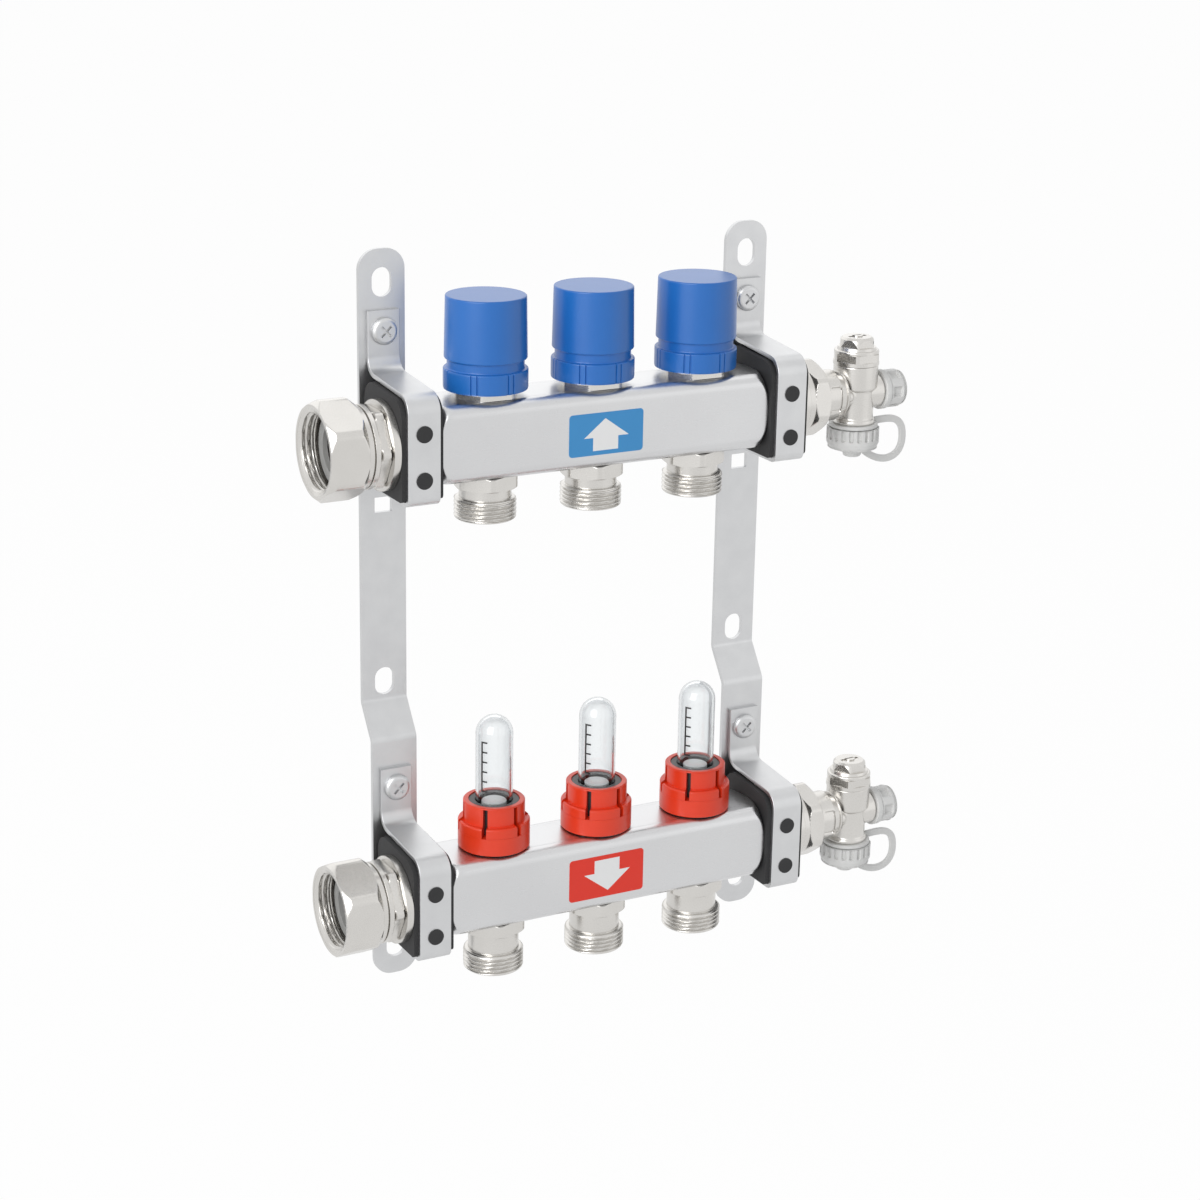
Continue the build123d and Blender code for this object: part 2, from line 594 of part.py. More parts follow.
def union_gasket(level):
    """The flat ring that seals the union against the tail's flange."""
    start = FLANGE_START + TAIL_FLANGE_L
    gasket = disc(TAIL_FLANGE_R, start, start + GASKET_T) - disc(TAIL_BORE_R, start, start + GASKET_T)
    return at_level(level, LEFT_NECK_X) * pointing_left(gasket)


def union_nut(level):
    """A loose hexagon nut, held by the tail's flange, whose inside thread ends in a relief groove."""
    end = NUT_START + NUT_L
    relief_end = FLANGE_START + TAIL_FLANGE_L + GASKET_T + LOOSE_FIT
    nut = nut_blank(NUT_HEX, NUT_START, end, NUT_FACE_R, NUT_CHAMFER_L)
    nut -= disc(TAIL_TUBE_R + RUNNING_FIT, NUT_START, end)
    nut -= disc(NUT_RELIEF_R, NUT_START + NUT_BACK_WALL, relief_end)
    nut -= disc(NUT_THREAD_R, relief_end, end)
    return at_level(level, LEFT_NECK_X) * pointing_left(nut)


def end_nut(level):
    """The nut that locks the end body to the bar's collar."""
    start = END_COLLAR_L
    face_end = start + END_NUT_FACE_L
    end = start + END_NUT_L
    nut = nut_blank(END_NUT_HEX, face_end, end, END_NUT_FACE_R, END_NUT_CHAMFER_L, END_NUT_TURN)
    nut += disc(END_NUT_FACE_R, start, face_end)
    nut -= disc(END_THREAD_R, start, end)
    return at_level(level, RIGHT_NECK_X) * pointing_right(nut)


def end_arm():
    """The end body's horizontal part, from the bar's neck to the tower, along +Z."""
    arm_end = ARM_START + END_ARM_L
    arm = disc(NECK_BORE_R, -END_SPIGOT_L, 0)
    arm += disc(END_COLLAR_R, 0, END_COLLAR_L)
    arm += disc(END_THREAD_R, END_COLLAR_L, ARM_START)
    arm += turned([(0, ARM_START), (END_ARM_R, ARM_START), (END_ARM_R, arm_end), (0, arm_end)],
                  [((END_ARM_R, arm_end), END_ARM_EDGE_R)])
    return arm + disc(END_BRIDGE_R, arm_end, END_AXIS_OUT)


def end_body(level):
    """The end piece: an arm into the bar, and a tower with a vent seat, a side boss and a hose outlet."""
    body = pointing_right(end_arm())
    waist_low = -END_BOTTOM
    tower = turned([(0, HOSE_SEAT_Z), (END_FOOT_R, HOSE_SEAT_Z), (END_FOOT_R, waist_low),
                    (END_WAIST_R, waist_low + END_FOOT_R - END_WAIST_R), (END_WAIST_R, END_WAIST_TOP),
                    (END_TOWER_R, END_WAIST_TOP + END_WAIST_SLOPE), (END_TOWER_R, END_TOWER_TOP),
                    (0, END_TOWER_TOP)],
                   [((END_TOWER_R, END_TOWER_TOP), END_TOP_EDGE_R)])
    tower += disc(HOSE_THREAD_R, HOSE_SEAT_Z - HOSE_THREAD_L, HOSE_SEAT_Z)
    boss = turned([(0, 0), (SIDE_BOSS_R, 0), (SIDE_BOSS_R, SIDE_BOSS_OUT), (0, SIDE_BOSS_OUT)],
                  [((SIDE_BOSS_R, SIDE_BOSS_OUT), SIDE_BOSS_EDGE_R)])
    tower += pointing_right(boss)
    tower += pointing_right(disc(SIDE_THREAD_R, 0, SIDE_BOSS_OUT + SIDE_THREAD_L))
    body += Pos(END_AXIS_OUT, 0, 0) * tower
    body += Pos(END_AXIS_OUT - END_BALL_BACK, -END_BALL_OUT, 0) * Sphere(END_BALL_R)
    recess = Box(END_RECESS_W, 2 * END_RECESS_DEPTH, END_RECESS_H)
    recess = fillet(recess.edges().filter_by(Axis.Y), END_RECESS_EDGE_R)
    body -= Pos(ARM_START + END_ARM_L / 2, -END_ARM_R, 0) * recess
    socket_low = END_TOWER_TOP - VENT_STEM_L - LOOSE_FIT
    body -= Pos(END_AXIS_OUT, 0, 0) * disc(VENT_SOCKET_R, socket_low, END_TOWER_TOP)
    body -= Pos(END_AXIS_OUT, 0, 0) * disc(HOSE_BORE_R, HOSE_SEAT_Z - HOSE_THREAD_L, waist_low)
    return at_level(level, RIGHT_NECK_X) * body


def vent_cap(level):
    """The air vent: ring, hexagon, collar and a faceted cap with a slotted spindle and a side hole."""
    ring_top = END_TOWER_TOP + VENT_RING_H
    hex_top = ring_top + VENT_HEX_H
    collar_top = hex_top + VENT_COLLAR_H
    cap_top = collar_top + VENT_CAP_H
    vent = disc(VENT_SOCKET_R - RUNNING_FIT, END_TOWER_TOP - VENT_STEM_L, ring_top)
    vent += disc(VENT_RING_R, END_TOWER_TOP + FACE_FIT, ring_top)
    vent += hexagon(VENT_HEX, ring_top, hex_top)
    vent += turned([(0, hex_top), (VENT_COLLAR_R, hex_top), (VENT_COLLAR_R, collar_top), (0, collar_top)],
                   [((VENT_COLLAR_R, collar_top), VENT_COLLAR_EDGE_R)])
    cap = turned([(0, collar_top), (VENT_CAP_R, collar_top), (VENT_CAP_TOP_R, cap_top - VENT_TOP_EDGE),
                  (VENT_CAP_TOP_R - VENT_TOP_EDGE, cap_top), (0, cap_top)])
    flats = extrude(RegularPolygon(VENT_CAP_FLATS / 2, 6, major_radius=False), cap_top)
    cap &= flats + disc(VENT_CAP_R, collar_top, collar_top + VENT_CAP_FOOT)
    cap -= Pos(0, 0, cap_top) * Box(VENT_SLOT_L, VENT_SLOT_W, 2 * VENT_SLOT_DEPTH)
    spindle_top = cap_top + VENT_SPINDLE_UP
    spindle = disc(VENT_SPINDLE_R, cap_top - VENT_SLOT_DEPTH, spindle_top)
    spindle -= Pos(0, 0, spindle_top) * Box(VENT_SLOT_L, VENT_SPINDLE_SLOT, 2 * VENT_SLOT_DEPTH)
    hole = Rot(90, 0, 0) * Cylinder(VENT_HOLE_R, VENT_CAP_TOP_R)
    hole = Pos(0, -VENT_CAP_R, collar_top + VENT_CAP_H / 2) * hole
    vent += cap + spindle - Rot(0, 0, VENT_HOLE_TURN) * hole
    return at_level(level, TOWER_X) * vent


def side_plug(level):
    """The side cap: a flange and a knob with square grip recesses, on the side boss's thread."""
    start = SIDE_BOSS_OUT + LOOSE_FIT
    knob_start = start + PLUG_FLANGE_L
    end = knob_start + PLUG_L
    plug = disc(PLUG_FLANGE_R, start, knob_start)
    plug += turned([(0, knob_start), (PLUG_R, knob_start), (PLUG_R, end), (0, end)],
                   [((PLUG_R, end), PLUG_EDGE_R)])
    grip = Box(PLUG_RECESS, 2 * PLUG_RECESS_DEPTH, PLUG_RECESS)
    grip_middle = knob_start + PLUG_RECESS_START + PLUG_RECESS / 2
    plug -= around(PLUG_RECESSES, PLUG_R, Pos(0, 0, grip_middle) * grip)
    plug -= disc(SIDE_THREAD_R + RUNNING_FIT, start, SIDE_BOSS_OUT + SIDE_THREAD_L + LOOSE_FIT)
    return at_level(level, TOWER_X) * pointing_right(plug)


def hose_cap(level):
    """The cap on the hose outlet: a ribbed cup with a button below that holds the strap."""
    top = HOSE_SEAT_Z - STRAP_T - LOOSE_FIT
    low = top - HOSE_CAP_H
    cap = turned([(0, low), (HOSE_CAP_R, low), (HOSE_CAP_R, top), (0, top)],
                 [((HOSE_CAP_R, low), HOSE_CAP_EDGE_R)])
    slot = Pos(0, 0, top - HOSE_SLOT_H / 2) * Box(HOSE_SLOT_W, 2 * HOSE_SLOT_DEPTH, HOSE_SLOT_H)
    cap -= around(HOSE_CAP_SLOTS, HOSE_CAP_R, slot)
    cap -= disc(HOSE_THREAD_R + RUNNING_FIT, HOSE_SEAT_Z - HOSE_THREAD_L - LOOSE_FIT, top)
    cap += disc(BUTTON_R - RUNNING_FIT, low - BUTTON_H, low)
    return at_level(level, TOWER_X) * cap


def strap(level):
    """The strap that keeps the hose cap: a ring round the outlet, a loop, and a ring round the button."""
    ring_top = HOSE_SEAT_Z
    ring_z = ring_top - STRAP_T / 2
    button_top = ring_top - STRAP_T - LOOSE_FIT - HOSE_CAP_H - LOOSE_FIT
    button_z = button_top - STRAP_T / 2
    ring = disc(STRAP_RING_R, ring_top - STRAP_T, ring_top)
    ring -= disc(HOSE_THREAD_R, ring_top - STRAP_T, ring_top)
    low_ring = disc(BUTTON_R + STRAP_BUTTON_RIM, button_top - STRAP_T, button_top)
    low_ring -= disc(BUTTON_R, button_top - STRAP_T, button_top)
    half_step = (STRAP_W - STRAP_T) / 2
    start = (STRAP_RING_R - STRAP_T / 2, 0, ring_z + half_step)
    finish = (BUTTON_R + STRAP_T / 2, 0, button_z - half_step)
    loop = Spline(start, (STRAP_REACH, 0, (ring_z + button_z) / 2 - STRAP_SAG), finish,
                  tangents=[(1, 0, 0), (-1, 0, 0.25)])
    section = Plane(origin=start, x_dir=(0, 1, 0), z_dir=loop % 0) * Rectangle(STRAP_T, STRAP_W)
    band = sweep(section, loop)
    return at_level(level, TOWER_X) * (ring + low_ring + band)


def all_nodes():
    """Every piece of the manifold under its own name."""
    nodes = {
        "upper_bar": bar("upper", INSERT_SPIGOT_R),
        "lower_bar": bar("lower", BUSH_SPIGOT_R),
        "clamp_screws": clamp_screws(),
    }
    for side in STRIP_X:
        nodes[f"wall_strip_{side}"] = wall_strip(side)
    for level in AXIS_Z:
        for side in STRIP_X:
            nodes[f"clamp_{level}_{side}"] = clamp(level, side)
            nodes[f"rubber_insert_{level}_{side}"] = rubber_insert(level, side)
        for number, x in enumerate(CIRCUIT_X, 1):
            nodes[f"outlet_nipple_{level}_{number}"] = outlet_nipple(level, x)
        nodes[f"union_tail_{level}"] = union_tail(level)
        nodes[f"union_gasket_{level}"] = union_gasket(level)
        nodes[f"union_nut_{level}"] = union_nut(level)
        nodes[f"end_body_{level}"] = end_body(level)
        nodes[f"end_nut_{level}"] = end_nut(level)
        nodes[f"vent_cap_{level}"] = vent_cap(level)
        nodes[f"side_plug_{level}"] = side_plug(level)
        nodes[f"hose_cap_{level}"] = hose_cap(level)
        nodes[f"cap_strap_{level}"] = strap(level)
    for number, x in enumerate(CIRCUIT_X, 1):
        nodes[f"valve_insert_{number}"] = valve_insert(x)
        nodes[f"valve_spindle_{number}"] = valve_spindle(x)
        nodes[f"valve_cap_{number}"] = valve_cap(x)
        nodes[f"flow_bush_{number}"] = flow_bush(x)
        nodes[f"sight_glass_{number}"] = sight_glass(x)
        nodes[f"flow_float_{number}"] = flow_float(x)
        nodes[f"flow_ring_{number}"] = flow_ring(x)
    return nodes


os.makedirs("parts", exist_ok=True)
for name, shape in all_nodes().items():
    export_step(shape, f"parts/{name}.step")
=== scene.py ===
# %% [markdown]
# # A floor-heating manifold
#
# The real object is two stainless steel bars on bent wall strips. Water comes back through the
# upper bar, past three valves under blue caps, and goes out through the lower bar, past three flow
# meters with red rings. The solids are already there as a fixed frame, so this lesson makes the
# surfaces that a plain solid leaves out: threads, softened edges, ribs, printed signs and finishes.
# Every size of the part is in millimetres and becomes metres at the moment that a mesh is made. Only
# the camera, the floor and the lamps are placed in metres.

# %% Load the frame
import math

import bmesh
import bpy
import numpy as np
from mathutils import Matrix


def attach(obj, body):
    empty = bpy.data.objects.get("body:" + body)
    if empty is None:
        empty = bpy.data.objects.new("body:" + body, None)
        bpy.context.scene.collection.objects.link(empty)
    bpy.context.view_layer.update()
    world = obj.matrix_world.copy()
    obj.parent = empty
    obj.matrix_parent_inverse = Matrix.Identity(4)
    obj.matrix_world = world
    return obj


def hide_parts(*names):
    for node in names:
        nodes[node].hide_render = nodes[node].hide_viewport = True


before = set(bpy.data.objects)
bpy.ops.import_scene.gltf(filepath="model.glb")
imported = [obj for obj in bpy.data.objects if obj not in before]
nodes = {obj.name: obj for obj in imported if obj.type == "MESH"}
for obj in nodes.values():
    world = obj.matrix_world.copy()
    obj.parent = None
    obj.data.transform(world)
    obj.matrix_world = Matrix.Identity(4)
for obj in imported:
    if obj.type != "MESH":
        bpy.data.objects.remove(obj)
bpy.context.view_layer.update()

# %% [markdown]
# ## Where things are
#
# X runs along the bars, Y goes into the wall and Z is up. The two bars hang at different depths,
# because the strips step forward between them. A piece is worked out round its own axis first and
# then put on its bar, so one function serves the upper and the lower copy.

# %% Name the places on the two bars
BAR_MIDDLE = 87.0
OUTLETS = (37.0, 87.0, 137.0)
LEFT_NECK, RIGHT_NECK = -9.2, 183.2
TOWER = RIGHT_NECK + 36.8
STRIPS = {"left": 0.0, "right": 174.0}
AXIS = {"upper": np.array([0.0, -23.6, 24.0]), "lower": np.array([0.0, -33.9, -173.5])}
DROP = {"upper": 19.5, "lower": 24.0}


def on_bar(level, x):
    """The point on a bar's axis at the given X."""
    return AXIS[level] + np.array([x, 0.0, 0.0])


UP = np.eye(3)
RIGHTWARDS = np.array([[0.0, 0.0, 1.0], [0.0, 1.0, 0.0], [-1.0, 0.0, 0.0]])
LEFTWARDS = np.array([[0.0, 0.0, -1.0], [0.0, 1.0, 0.0], [1.0, 0.0, 0.0]])
print("outlets at", OUTLETS, "tower at", TOWER)

# %% [markdown]
# ## From a grid of points to a mesh
#
# Nearly every part here was turned on a lathe, moulded or bent, so its surface is a function of two
# parameters. Numpy works out a whole grid of points at once, and the same few lines join any grid
# into faces. Points that fall together at a pole or a seam are merged, so each piece is closed.

# %% Join a grid of points into faces
def grid_faces(rows, columns, closed):
    """Quads between neighbouring rows and columns. Columns always join round, rows only if closed."""
    index = np.arange(rows * columns).reshape(rows, columns)
    here = index if closed else index[:-1]
    below = np.roll(index, -1, axis=0) if closed else index[1:]
    quads = np.stack([here, np.roll(here, -1, axis=1), np.roll(below, -1, axis=1), below], axis=-1)
    return quads.reshape(-1, 4)


def signed_volume(points, quads):
    """Six times the volume inside the quads: positive when the faces point outwards."""
    a, b, c, d = (points[quads[:, i]] for i in range(4))
    first_halves = np.einsum("ij,ij->i", a, np.cross(b, c)).sum()
    second_halves = np.einsum("ij,ij->i", a, np.cross(c, d)).sum()
    return float(first_halves + second_halves)


def make_piece(name, grids, material, body, stands_for=(), sharp=40.0):
    """Makes one object from (points, closed) grids, smooth except across edges over the sharp angle."""
    points, quads, start = [], [], 0
    for grid, closed in grids:
        flat = grid.reshape(-1, 3)
        faces = grid_faces(grid.shape[0], grid.shape[1], closed)
        if signed_volume(flat - flat.mean(axis=0), faces) < 0:
            faces = faces[:, ::-1]
        points.append(flat)
        quads.append(faces + start)
        start += len(flat)
    mesh = bpy.data.meshes.new(name)
    mesh.from_pydata((np.concatenate(points) / 1000).tolist(), [], np.concatenate(quads).tolist())
    merged = bmesh.new()
    merged.from_mesh(mesh)
    bmesh.ops.remove_doubles(merged, verts=merged.verts, dist=1e-7)
    merged.to_mesh(mesh)
    merged.free()
    mesh.shade_smooth()
    mesh.set_sharp_from_angle(angle=math.radians(sharp))
    mesh.materials.append(material)
    piece = bpy.data.objects.new(name, mesh)
    bpy.context.scene.collection.objects.link(piece)
    weigh = piece.modifiers.new("flat faces stay flat", "WEIGHTED_NORMAL")
    weigh.keep_sharp = True
    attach(piece, body)
    if stands_for:
        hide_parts(*stands_for)
    return piece


# %% [markdown]
# ## The lathe
#
# A turned part is a profile of radii and heights carried round an axis. A hexagon is the same thing
# with a limit on the radius: at each angle the surface can't go past the flat, so the smaller of the
# two radii wins. That one rule also draws the curved edges which a chamfer leaves on a real nut.

# %% Soften a profile and carry it round
def softened(corners, reach=0.35, steps=4):
    """Replaces each corner of a profile with a short curve: (1-t)^2 A + 2t(1-t) C + t^2 B.

    A and B lie on the two edges, no further from the corner C than the reach or 0.4 of the edge.
    """
    corners = np.array(corners, float)
    before, after = np.roll(corners, 1, axis=0) - corners, np.roll(corners, -1, axis=0) - corners
    length_before = np.linalg.norm(before, axis=1, keepdims=True)
    length_after = np.linalg.norm(after, axis=1, keepdims=True)
    a = corners + before * np.minimum(0.4, reach / np.maximum(length_before, 1e-9))
    b = corners + after * np.minimum(0.4, reach / np.maximum(length_after, 1e-9))
    t = np.linspace(0, 1, steps)[None, :, None]
    curve = (1 - t) ** 2 * a[:, None] + 2 * t * (1 - t) * corners[:, None] + t ** 2 * b[:, None]
    on_axis = corners[:, 0] == 0
    curve[on_axis] = corners[on_axis, None]
    return curve.reshape(-1, 2)


def flat_radius(angle, across, turn):
    """Distance from the axis to a hexagon's flats: half its width over the cosine of the folded angle.

    At a turn of 0 a corner points along the first axis, and the flats' middles are half a side on.
    """
    side = 2 * np.pi / 6
    folded = np.mod(angle - math.radians(turn), side) - side / 2
    return across / 2 / np.cos(folded)


def lathe(profile, place, direction=UP, columns=192, shape=None, angles=None):
    """A grid of points: (r cos a, r sin a, h) turned to the part's direction and moved to its place.

    The shape function gets the arrays of angle, height and radius and gives back the radius.
    """
    profile = np.asarray(profile, float)
    if angles is None:
        angles = np.linspace(0, 2 * np.pi, columns, endpoint=False)
    radius = np.repeat(profile[:, :1], len(angles), axis=1)
    height = np.repeat(profile[:, 1:2], len(angles), axis=1)
    angle = np.repeat(angles[None], len(profile), axis=0)
    if shape is not None:
        radius = shape(angle, height, radius)
    local = np.stack([radius * np.cos(angle), radius * np.sin(angle), height], axis=-1)
    return local @ direction.T + np.asarray(place, float)


def hexagon_between(low, high, across, turn=0.0):
    """A shape function that limits the radius to a hexagon's flats between two heights."""
    def shape(angle, height, radius):
        inside = (height > low - 1e-6) & (height < high + 1e-6)
        return np.where(inside, np.minimum(radius, flat_radius(angle, across, turn)), radius)
    return shape


def triangle_wave(turns):
    """A wave between 0 and 1, once per turn, with its tips cut flat as a thread's are."""
    return np.clip(np.abs(np.mod(turns, 1.0) * 2 - 1) * 1.3 - 0.15, 0, 1)


def thread_between(low, high, pitch, depth, inner):
    """A shape function that cuts a screw thread: the radius falls by the depth times a triangle wave.

    The wave runs along height / pitch - angle / one turn, which is one groove winding round the part.
    It fades out at both ends, and the surface within the inner radius stays as it is.
    """
    def shape(angle, height, radius):
        wave = triangle_wave(height / pitch - angle / (2 * np.pi))
        fade = np.clip(np.minimum(height - low, high - height) / (0.5 * pitch), 0, 1)
        inside = (height > low) & (height < high) & (radius > inner)
        return np.where(inside, radius - depth * wave * fade, radius)
    return shape


def in_turn(*shapes):
    """One shape function that applies several, one after the other."""
    def shape(angle, height, radius):
        for each in shapes:
            radius = each(angle, height, radius)
        return radius
    return shape


def run(radius, start, end, count):
    """Profile rows at one radius from one height to another, as many as a thread or a recess needs."""
    return [(radius, z) for z in np.linspace(start, end, count)]


print("lathe ready")

# %% [markdown]
# ## Finishes
#
# Machined and drawn metal is never one grey: fine lines from the tool spread the light one way, and
# large soft clouds come from plating and handling. Both are noise, stretched or not, so one group
# makes them for every metal and plastic here, and each material sets its own values.

# %% Build the shared grain group
def new_group(name, inputs, outputs):
    """A shader node group with the given (name, type, default) inputs and (name, type) outputs."""
    group = bpy.data.node_groups.new(name, "ShaderNodeTree")
    for label, kind, default in inputs:
        socket = group.interface.new_socket(label, in_out="INPUT", socket_type=kind)
        socket.default_value = default
    for label, kind in outputs:
        group.interface.new_socket(label, in_out="OUTPUT", socket_type=kind)
    return group, group.nodes.new("NodeGroupInput"), group.nodes.new("NodeGroupOutput")


def add(tree, kind, **settings):
    """A new node with its settings and with default values on its named or numbered inputs."""
    node = tree.nodes.new(kind)
    values = settings.pop("values", {})
    for key, value in settings.items():
        setattr(node, key, value)
    for key, value in values.items():
        node.inputs[key].default_value = value
    return node


grain, grain_in, grain_out = new_group(
    "grain and clouds",
    [("Stretch", "NodeSocketVector", (1.0, 1.0, 1.0)), ("Grain size", "NodeSocketFloat", 4000.0),
     ("Cloud size", "NodeSocketFloat", 60.0), ("Colour", "NodeSocketColor", (0.8, 0.8, 0.8, 1.0)),
     ("Cloud colour", "NodeSocketColor", (0.7, 0.7, 0.7, 1.0)), ("Roughness", "NodeSocketFloat", 0.3),
     ("Roughness change", "NodeSocketFloat", 0.1)],
    [("Colour", "NodeSocketColor"), ("Roughness", "NodeSocketFloat"), ("Height", "NodeSocketFloat")])
where = add(grain, "ShaderNodeTexCoord")
stretched = add(grain, "ShaderNodeVectorMath", operation="MULTIPLY")
fine = add(grain, "ShaderNodeTexNoise", values={"Detail": 2.0, "Roughness": 0.6})
clouds = add(grain, "ShaderNodeTexNoise", values={"Detail": 3.0, "Roughness": 0.55})
cloud_mix = add(grain, "ShaderNodeMix", data_type="RGBA")
rough = add(grain, "ShaderNodeMath", operation="MULTIPLY_ADD")
centred = add(grain, "ShaderNodeMath", operation="SUBTRACT", values={1: 0.5})
for source, target in (
        (where.outputs["Object"], stretched.inputs[0]),
        (grain_in.outputs["Stretch"], stretched.inputs[1]),
        (stretched.outputs[0], fine.inputs["Vector"]),
        (grain_in.outputs["Grain size"], fine.inputs["Scale"]),
        (where.outputs["Object"], clouds.inputs["Vector"]),
        (grain_in.outputs["Cloud size"], clouds.inputs["Scale"]),
        (clouds.outputs["Fac"], cloud_mix.inputs["Factor"]),
        (grain_in.outputs["Colour"], cloud_mix.inputs[6]),
        (grain_in.outputs["Cloud colour"], cloud_mix.inputs[7]),
        (fine.outputs["Fac"], centred.inputs[0]),
        (centred.outputs[0], rough.inputs[0]),
        (grain_in.outputs["Roughness change"], rough.inputs[1]),
        (grain_in.outputs["Roughness"], rough.inputs[2]),
        (cloud_mix.outputs[2], grain_out.inputs["Colour"]),
        (rough.outputs[0], grain_out.inputs["Roughness"]),
        (fine.outputs["Fac"], grain_out.inputs["Height"])):
    grain.links.new(source, target)
BUMP_DEPTH = 0.00002


def finish(name, colour, clouds_to, roughness, change, size=3000, cloud=60, bump=0.05,
           metallic=0.0, stretch=(1, 1, 1), coat=0.0):
    """A material whose colour, roughness and fine bump come from the grain group.

    The clouds lead from one colour to the other, and the grain moves the roughness by the change.
    """
    material = bpy.data.materials.new(name)
    material.use_nodes = True
    tree = material.node_tree
    shader = tree.nodes["Principled BSDF"]
    group = add(tree, "ShaderNodeGroup", node_tree=grain, values={
        "Stretch": stretch, "Grain size": size, "Cloud size": cloud, "Colour": (*colour, 1.0),
        "Cloud colour": (*clouds_to, 1.0), "Roughness": roughness, "Roughness change": change})
    relief = add(tree, "ShaderNodeBump", values={"Strength": bump, "Distance": BUMP_DEPTH})
    tree.links.new(group.outputs["Colour"], shader.inputs["Base Color"])
    tree.links.new(group.outputs["Roughness"], shader.inputs["Roughness"])
    tree.links.new(group.outputs["Height"], relief.inputs["Height"])
    tree.links.new(relief.outputs["Normal"], shader.inputs["Normal"])
    shader.inputs["Metallic"].default_value = metallic
    shader.inputs["Coat Weight"].default_value = coat
    shader.inputs["Coat Roughness"].default_value = 0.22
    return material


# %% [markdown]
# The bars are drawn stainless tube with lines along their length, the strips and clamps are zinc
# plated and faintly mottled, and the fittings are nickel-plated brass, which is warmer and shinier.
# The plastics are plain colours with a very fine moulded texture, the caps with more gloss.

# %% Make the finishes
stainless = finish("drawn stainless", (0.66, 0.665, 0.67), (0.60, 0.60, 0.61), 0.30, 0.16,
                   size=6000, cloud=25, bump=0.25, metallic=1.0, stretch=(0.03, 1, 1))
zinc = finish("zinc-plated strip", (0.645, 0.65, 0.655), (0.56, 0.565, 0.575), 0.38, 0.14,
              size=4500, cloud=120, bump=0.2, metallic=1.0, stretch=(1, 1, 0.05))
nickel = finish("nickel-plated brass", (0.66, 0.645, 0.62), (0.60, 0.585, 0.56), 0.27, 0.08,
                size=5000, cloud=90, bump=0.12, metallic=1.0)
rubber = finish("dark rubber", (0.012, 0.012, 0.013), (0.022, 0.022, 0.023), 0.68, 0.2,
                size=2500, cloud=90, bump=0.5)
blue = finish("blue cap plastic", (0.012, 0.145, 0.50), (0.01, 0.13, 0.46), 0.36, 0.06,
              size=2500, cloud=70, bump=0.15, coat=0.2)
red = finish("red ring plastic", (0.78, 0.042, 0.008), (0.70, 0.036, 0.007), 0.36, 0.06,
             size=2500, cloud=70, bump=0.15, coat=0.1)
black = finish("black plastic", (0.012, 0.012, 0.013), (0.02, 0.02, 0.021), 0.38, 0.1,
               size=2500, cloud=90, bump=0.25)
pale = finish("pale moulded plastic", (0.74, 0.74, 0.73), (0.70, 0.70, 0.69), 0.38, 0.08,
              size=2200, bump=0.3)
fibre = finish("fibre gasket", (0.30, 0.30, 0.29), (0.36, 0.36, 0.35), 0.8, 0.2, cloud=300, bump=0.6)
sign_blue = finish("printed blue", (0.045, 0.275, 0.60), (0.04, 0.26, 0.57), 0.35, 0.05)
sign_red = finish("printed red", (0.79, 0.028, 0.009), (0.75, 0.025, 0.008), 0.35, 0.05)
sign_white = finish("printed white", (0.86, 0.86, 0.86), (0.82, 0.82, 0.82), 0.4, 0.05)
ink = finish("scale ink", (0.01, 0.01, 0.01), (0.02, 0.02, 0.02), 0.5, 0.1)


def clear_plastic():
    """Clear moulded plastic: it transmits, and takes more light away where it is seen edge on."""
    material = finish("clear moulded plastic", (0.97, 0.98, 0.985), (0.95, 0.965, 0.97), 0.04, 0.03,
                      size=800)
    tree = material.node_tree
    shader = tree.nodes["Principled BSDF"]
    shader.inputs["Transmission Weight"].default_value = 1.0
    shader.inputs["IOR"].default_value = 1.49
    edge = add(tree, "ShaderNodeLayerWeight", values={"Blend": 0.32})
    tint = add(tree, "ShaderNodeMix", data_type="RGBA", values={7: (0.34, 0.37, 0.40, 1.0)})
    tree.links.new(edge.outputs["Facing"], tint.inputs["Factor"])
    tree.links.new(shader.inputs["Base Color"].links[0].from_socket, tint.inputs[6])
    tree.links.new(tint.outputs[2], shader.inputs["Base Color"])
    return material


clear = clear_plastic()
print(len(bpy.data.materials), "materials")

# %% [markdown]
# ## The nodes that stay
#
# A strip with its slots, a screw or a gasket is already the right shape, so only its finish changes.
# The nodes that are replaced further down get a finish here as well.

# %% Dress the nodes
finish_of = {"wall_strip": zinc, "clamp_screws": zinc, "clamp": zinc, "rubber_insert": rubber,
             "upper_bar": stainless, "lower_bar": stainless, "outlet_nipple": nickel,
             "valve_insert": nickel, "valve_spindle": nickel, "valve_cap": blue, "flow_bush": black,
             "sight_glass": clear, "flow_float": sign_white, "flow_ring": red, "union_tail": nickel,
             "union_nut": nickel, "union_gasket": fibre, "end_body": nickel, "end_nut": nickel,
             "vent_cap": nickel, "side_plug": pale, "hose_cap": pale, "cap_strap": pale}
for name, piece in nodes.items():
    start = next(word for word in sorted(finish_of, key=len, reverse=True) if name.startswith(word))
    piece.data.materials.clear()
    piece.data.materials.append(finish_of[start])
print(len(nodes), "nodes dressed")

# %% [markdown]
# ## The bars
#
# A bar is square tube with rounded corners, spun down at its ends to a round neck. It could be a
# box with bevels, but the ends would look wrong. Here the radius is the smaller of two: that of the
# rounded square, which depends on the angle, and that of a round-ended barrel, which depends on X.
# The inner wall is the same thing two millimetres further in, so one looks through the open nuts
# into a real hollow. A Boolean modifier then drills the six holes for what stands in each bar.

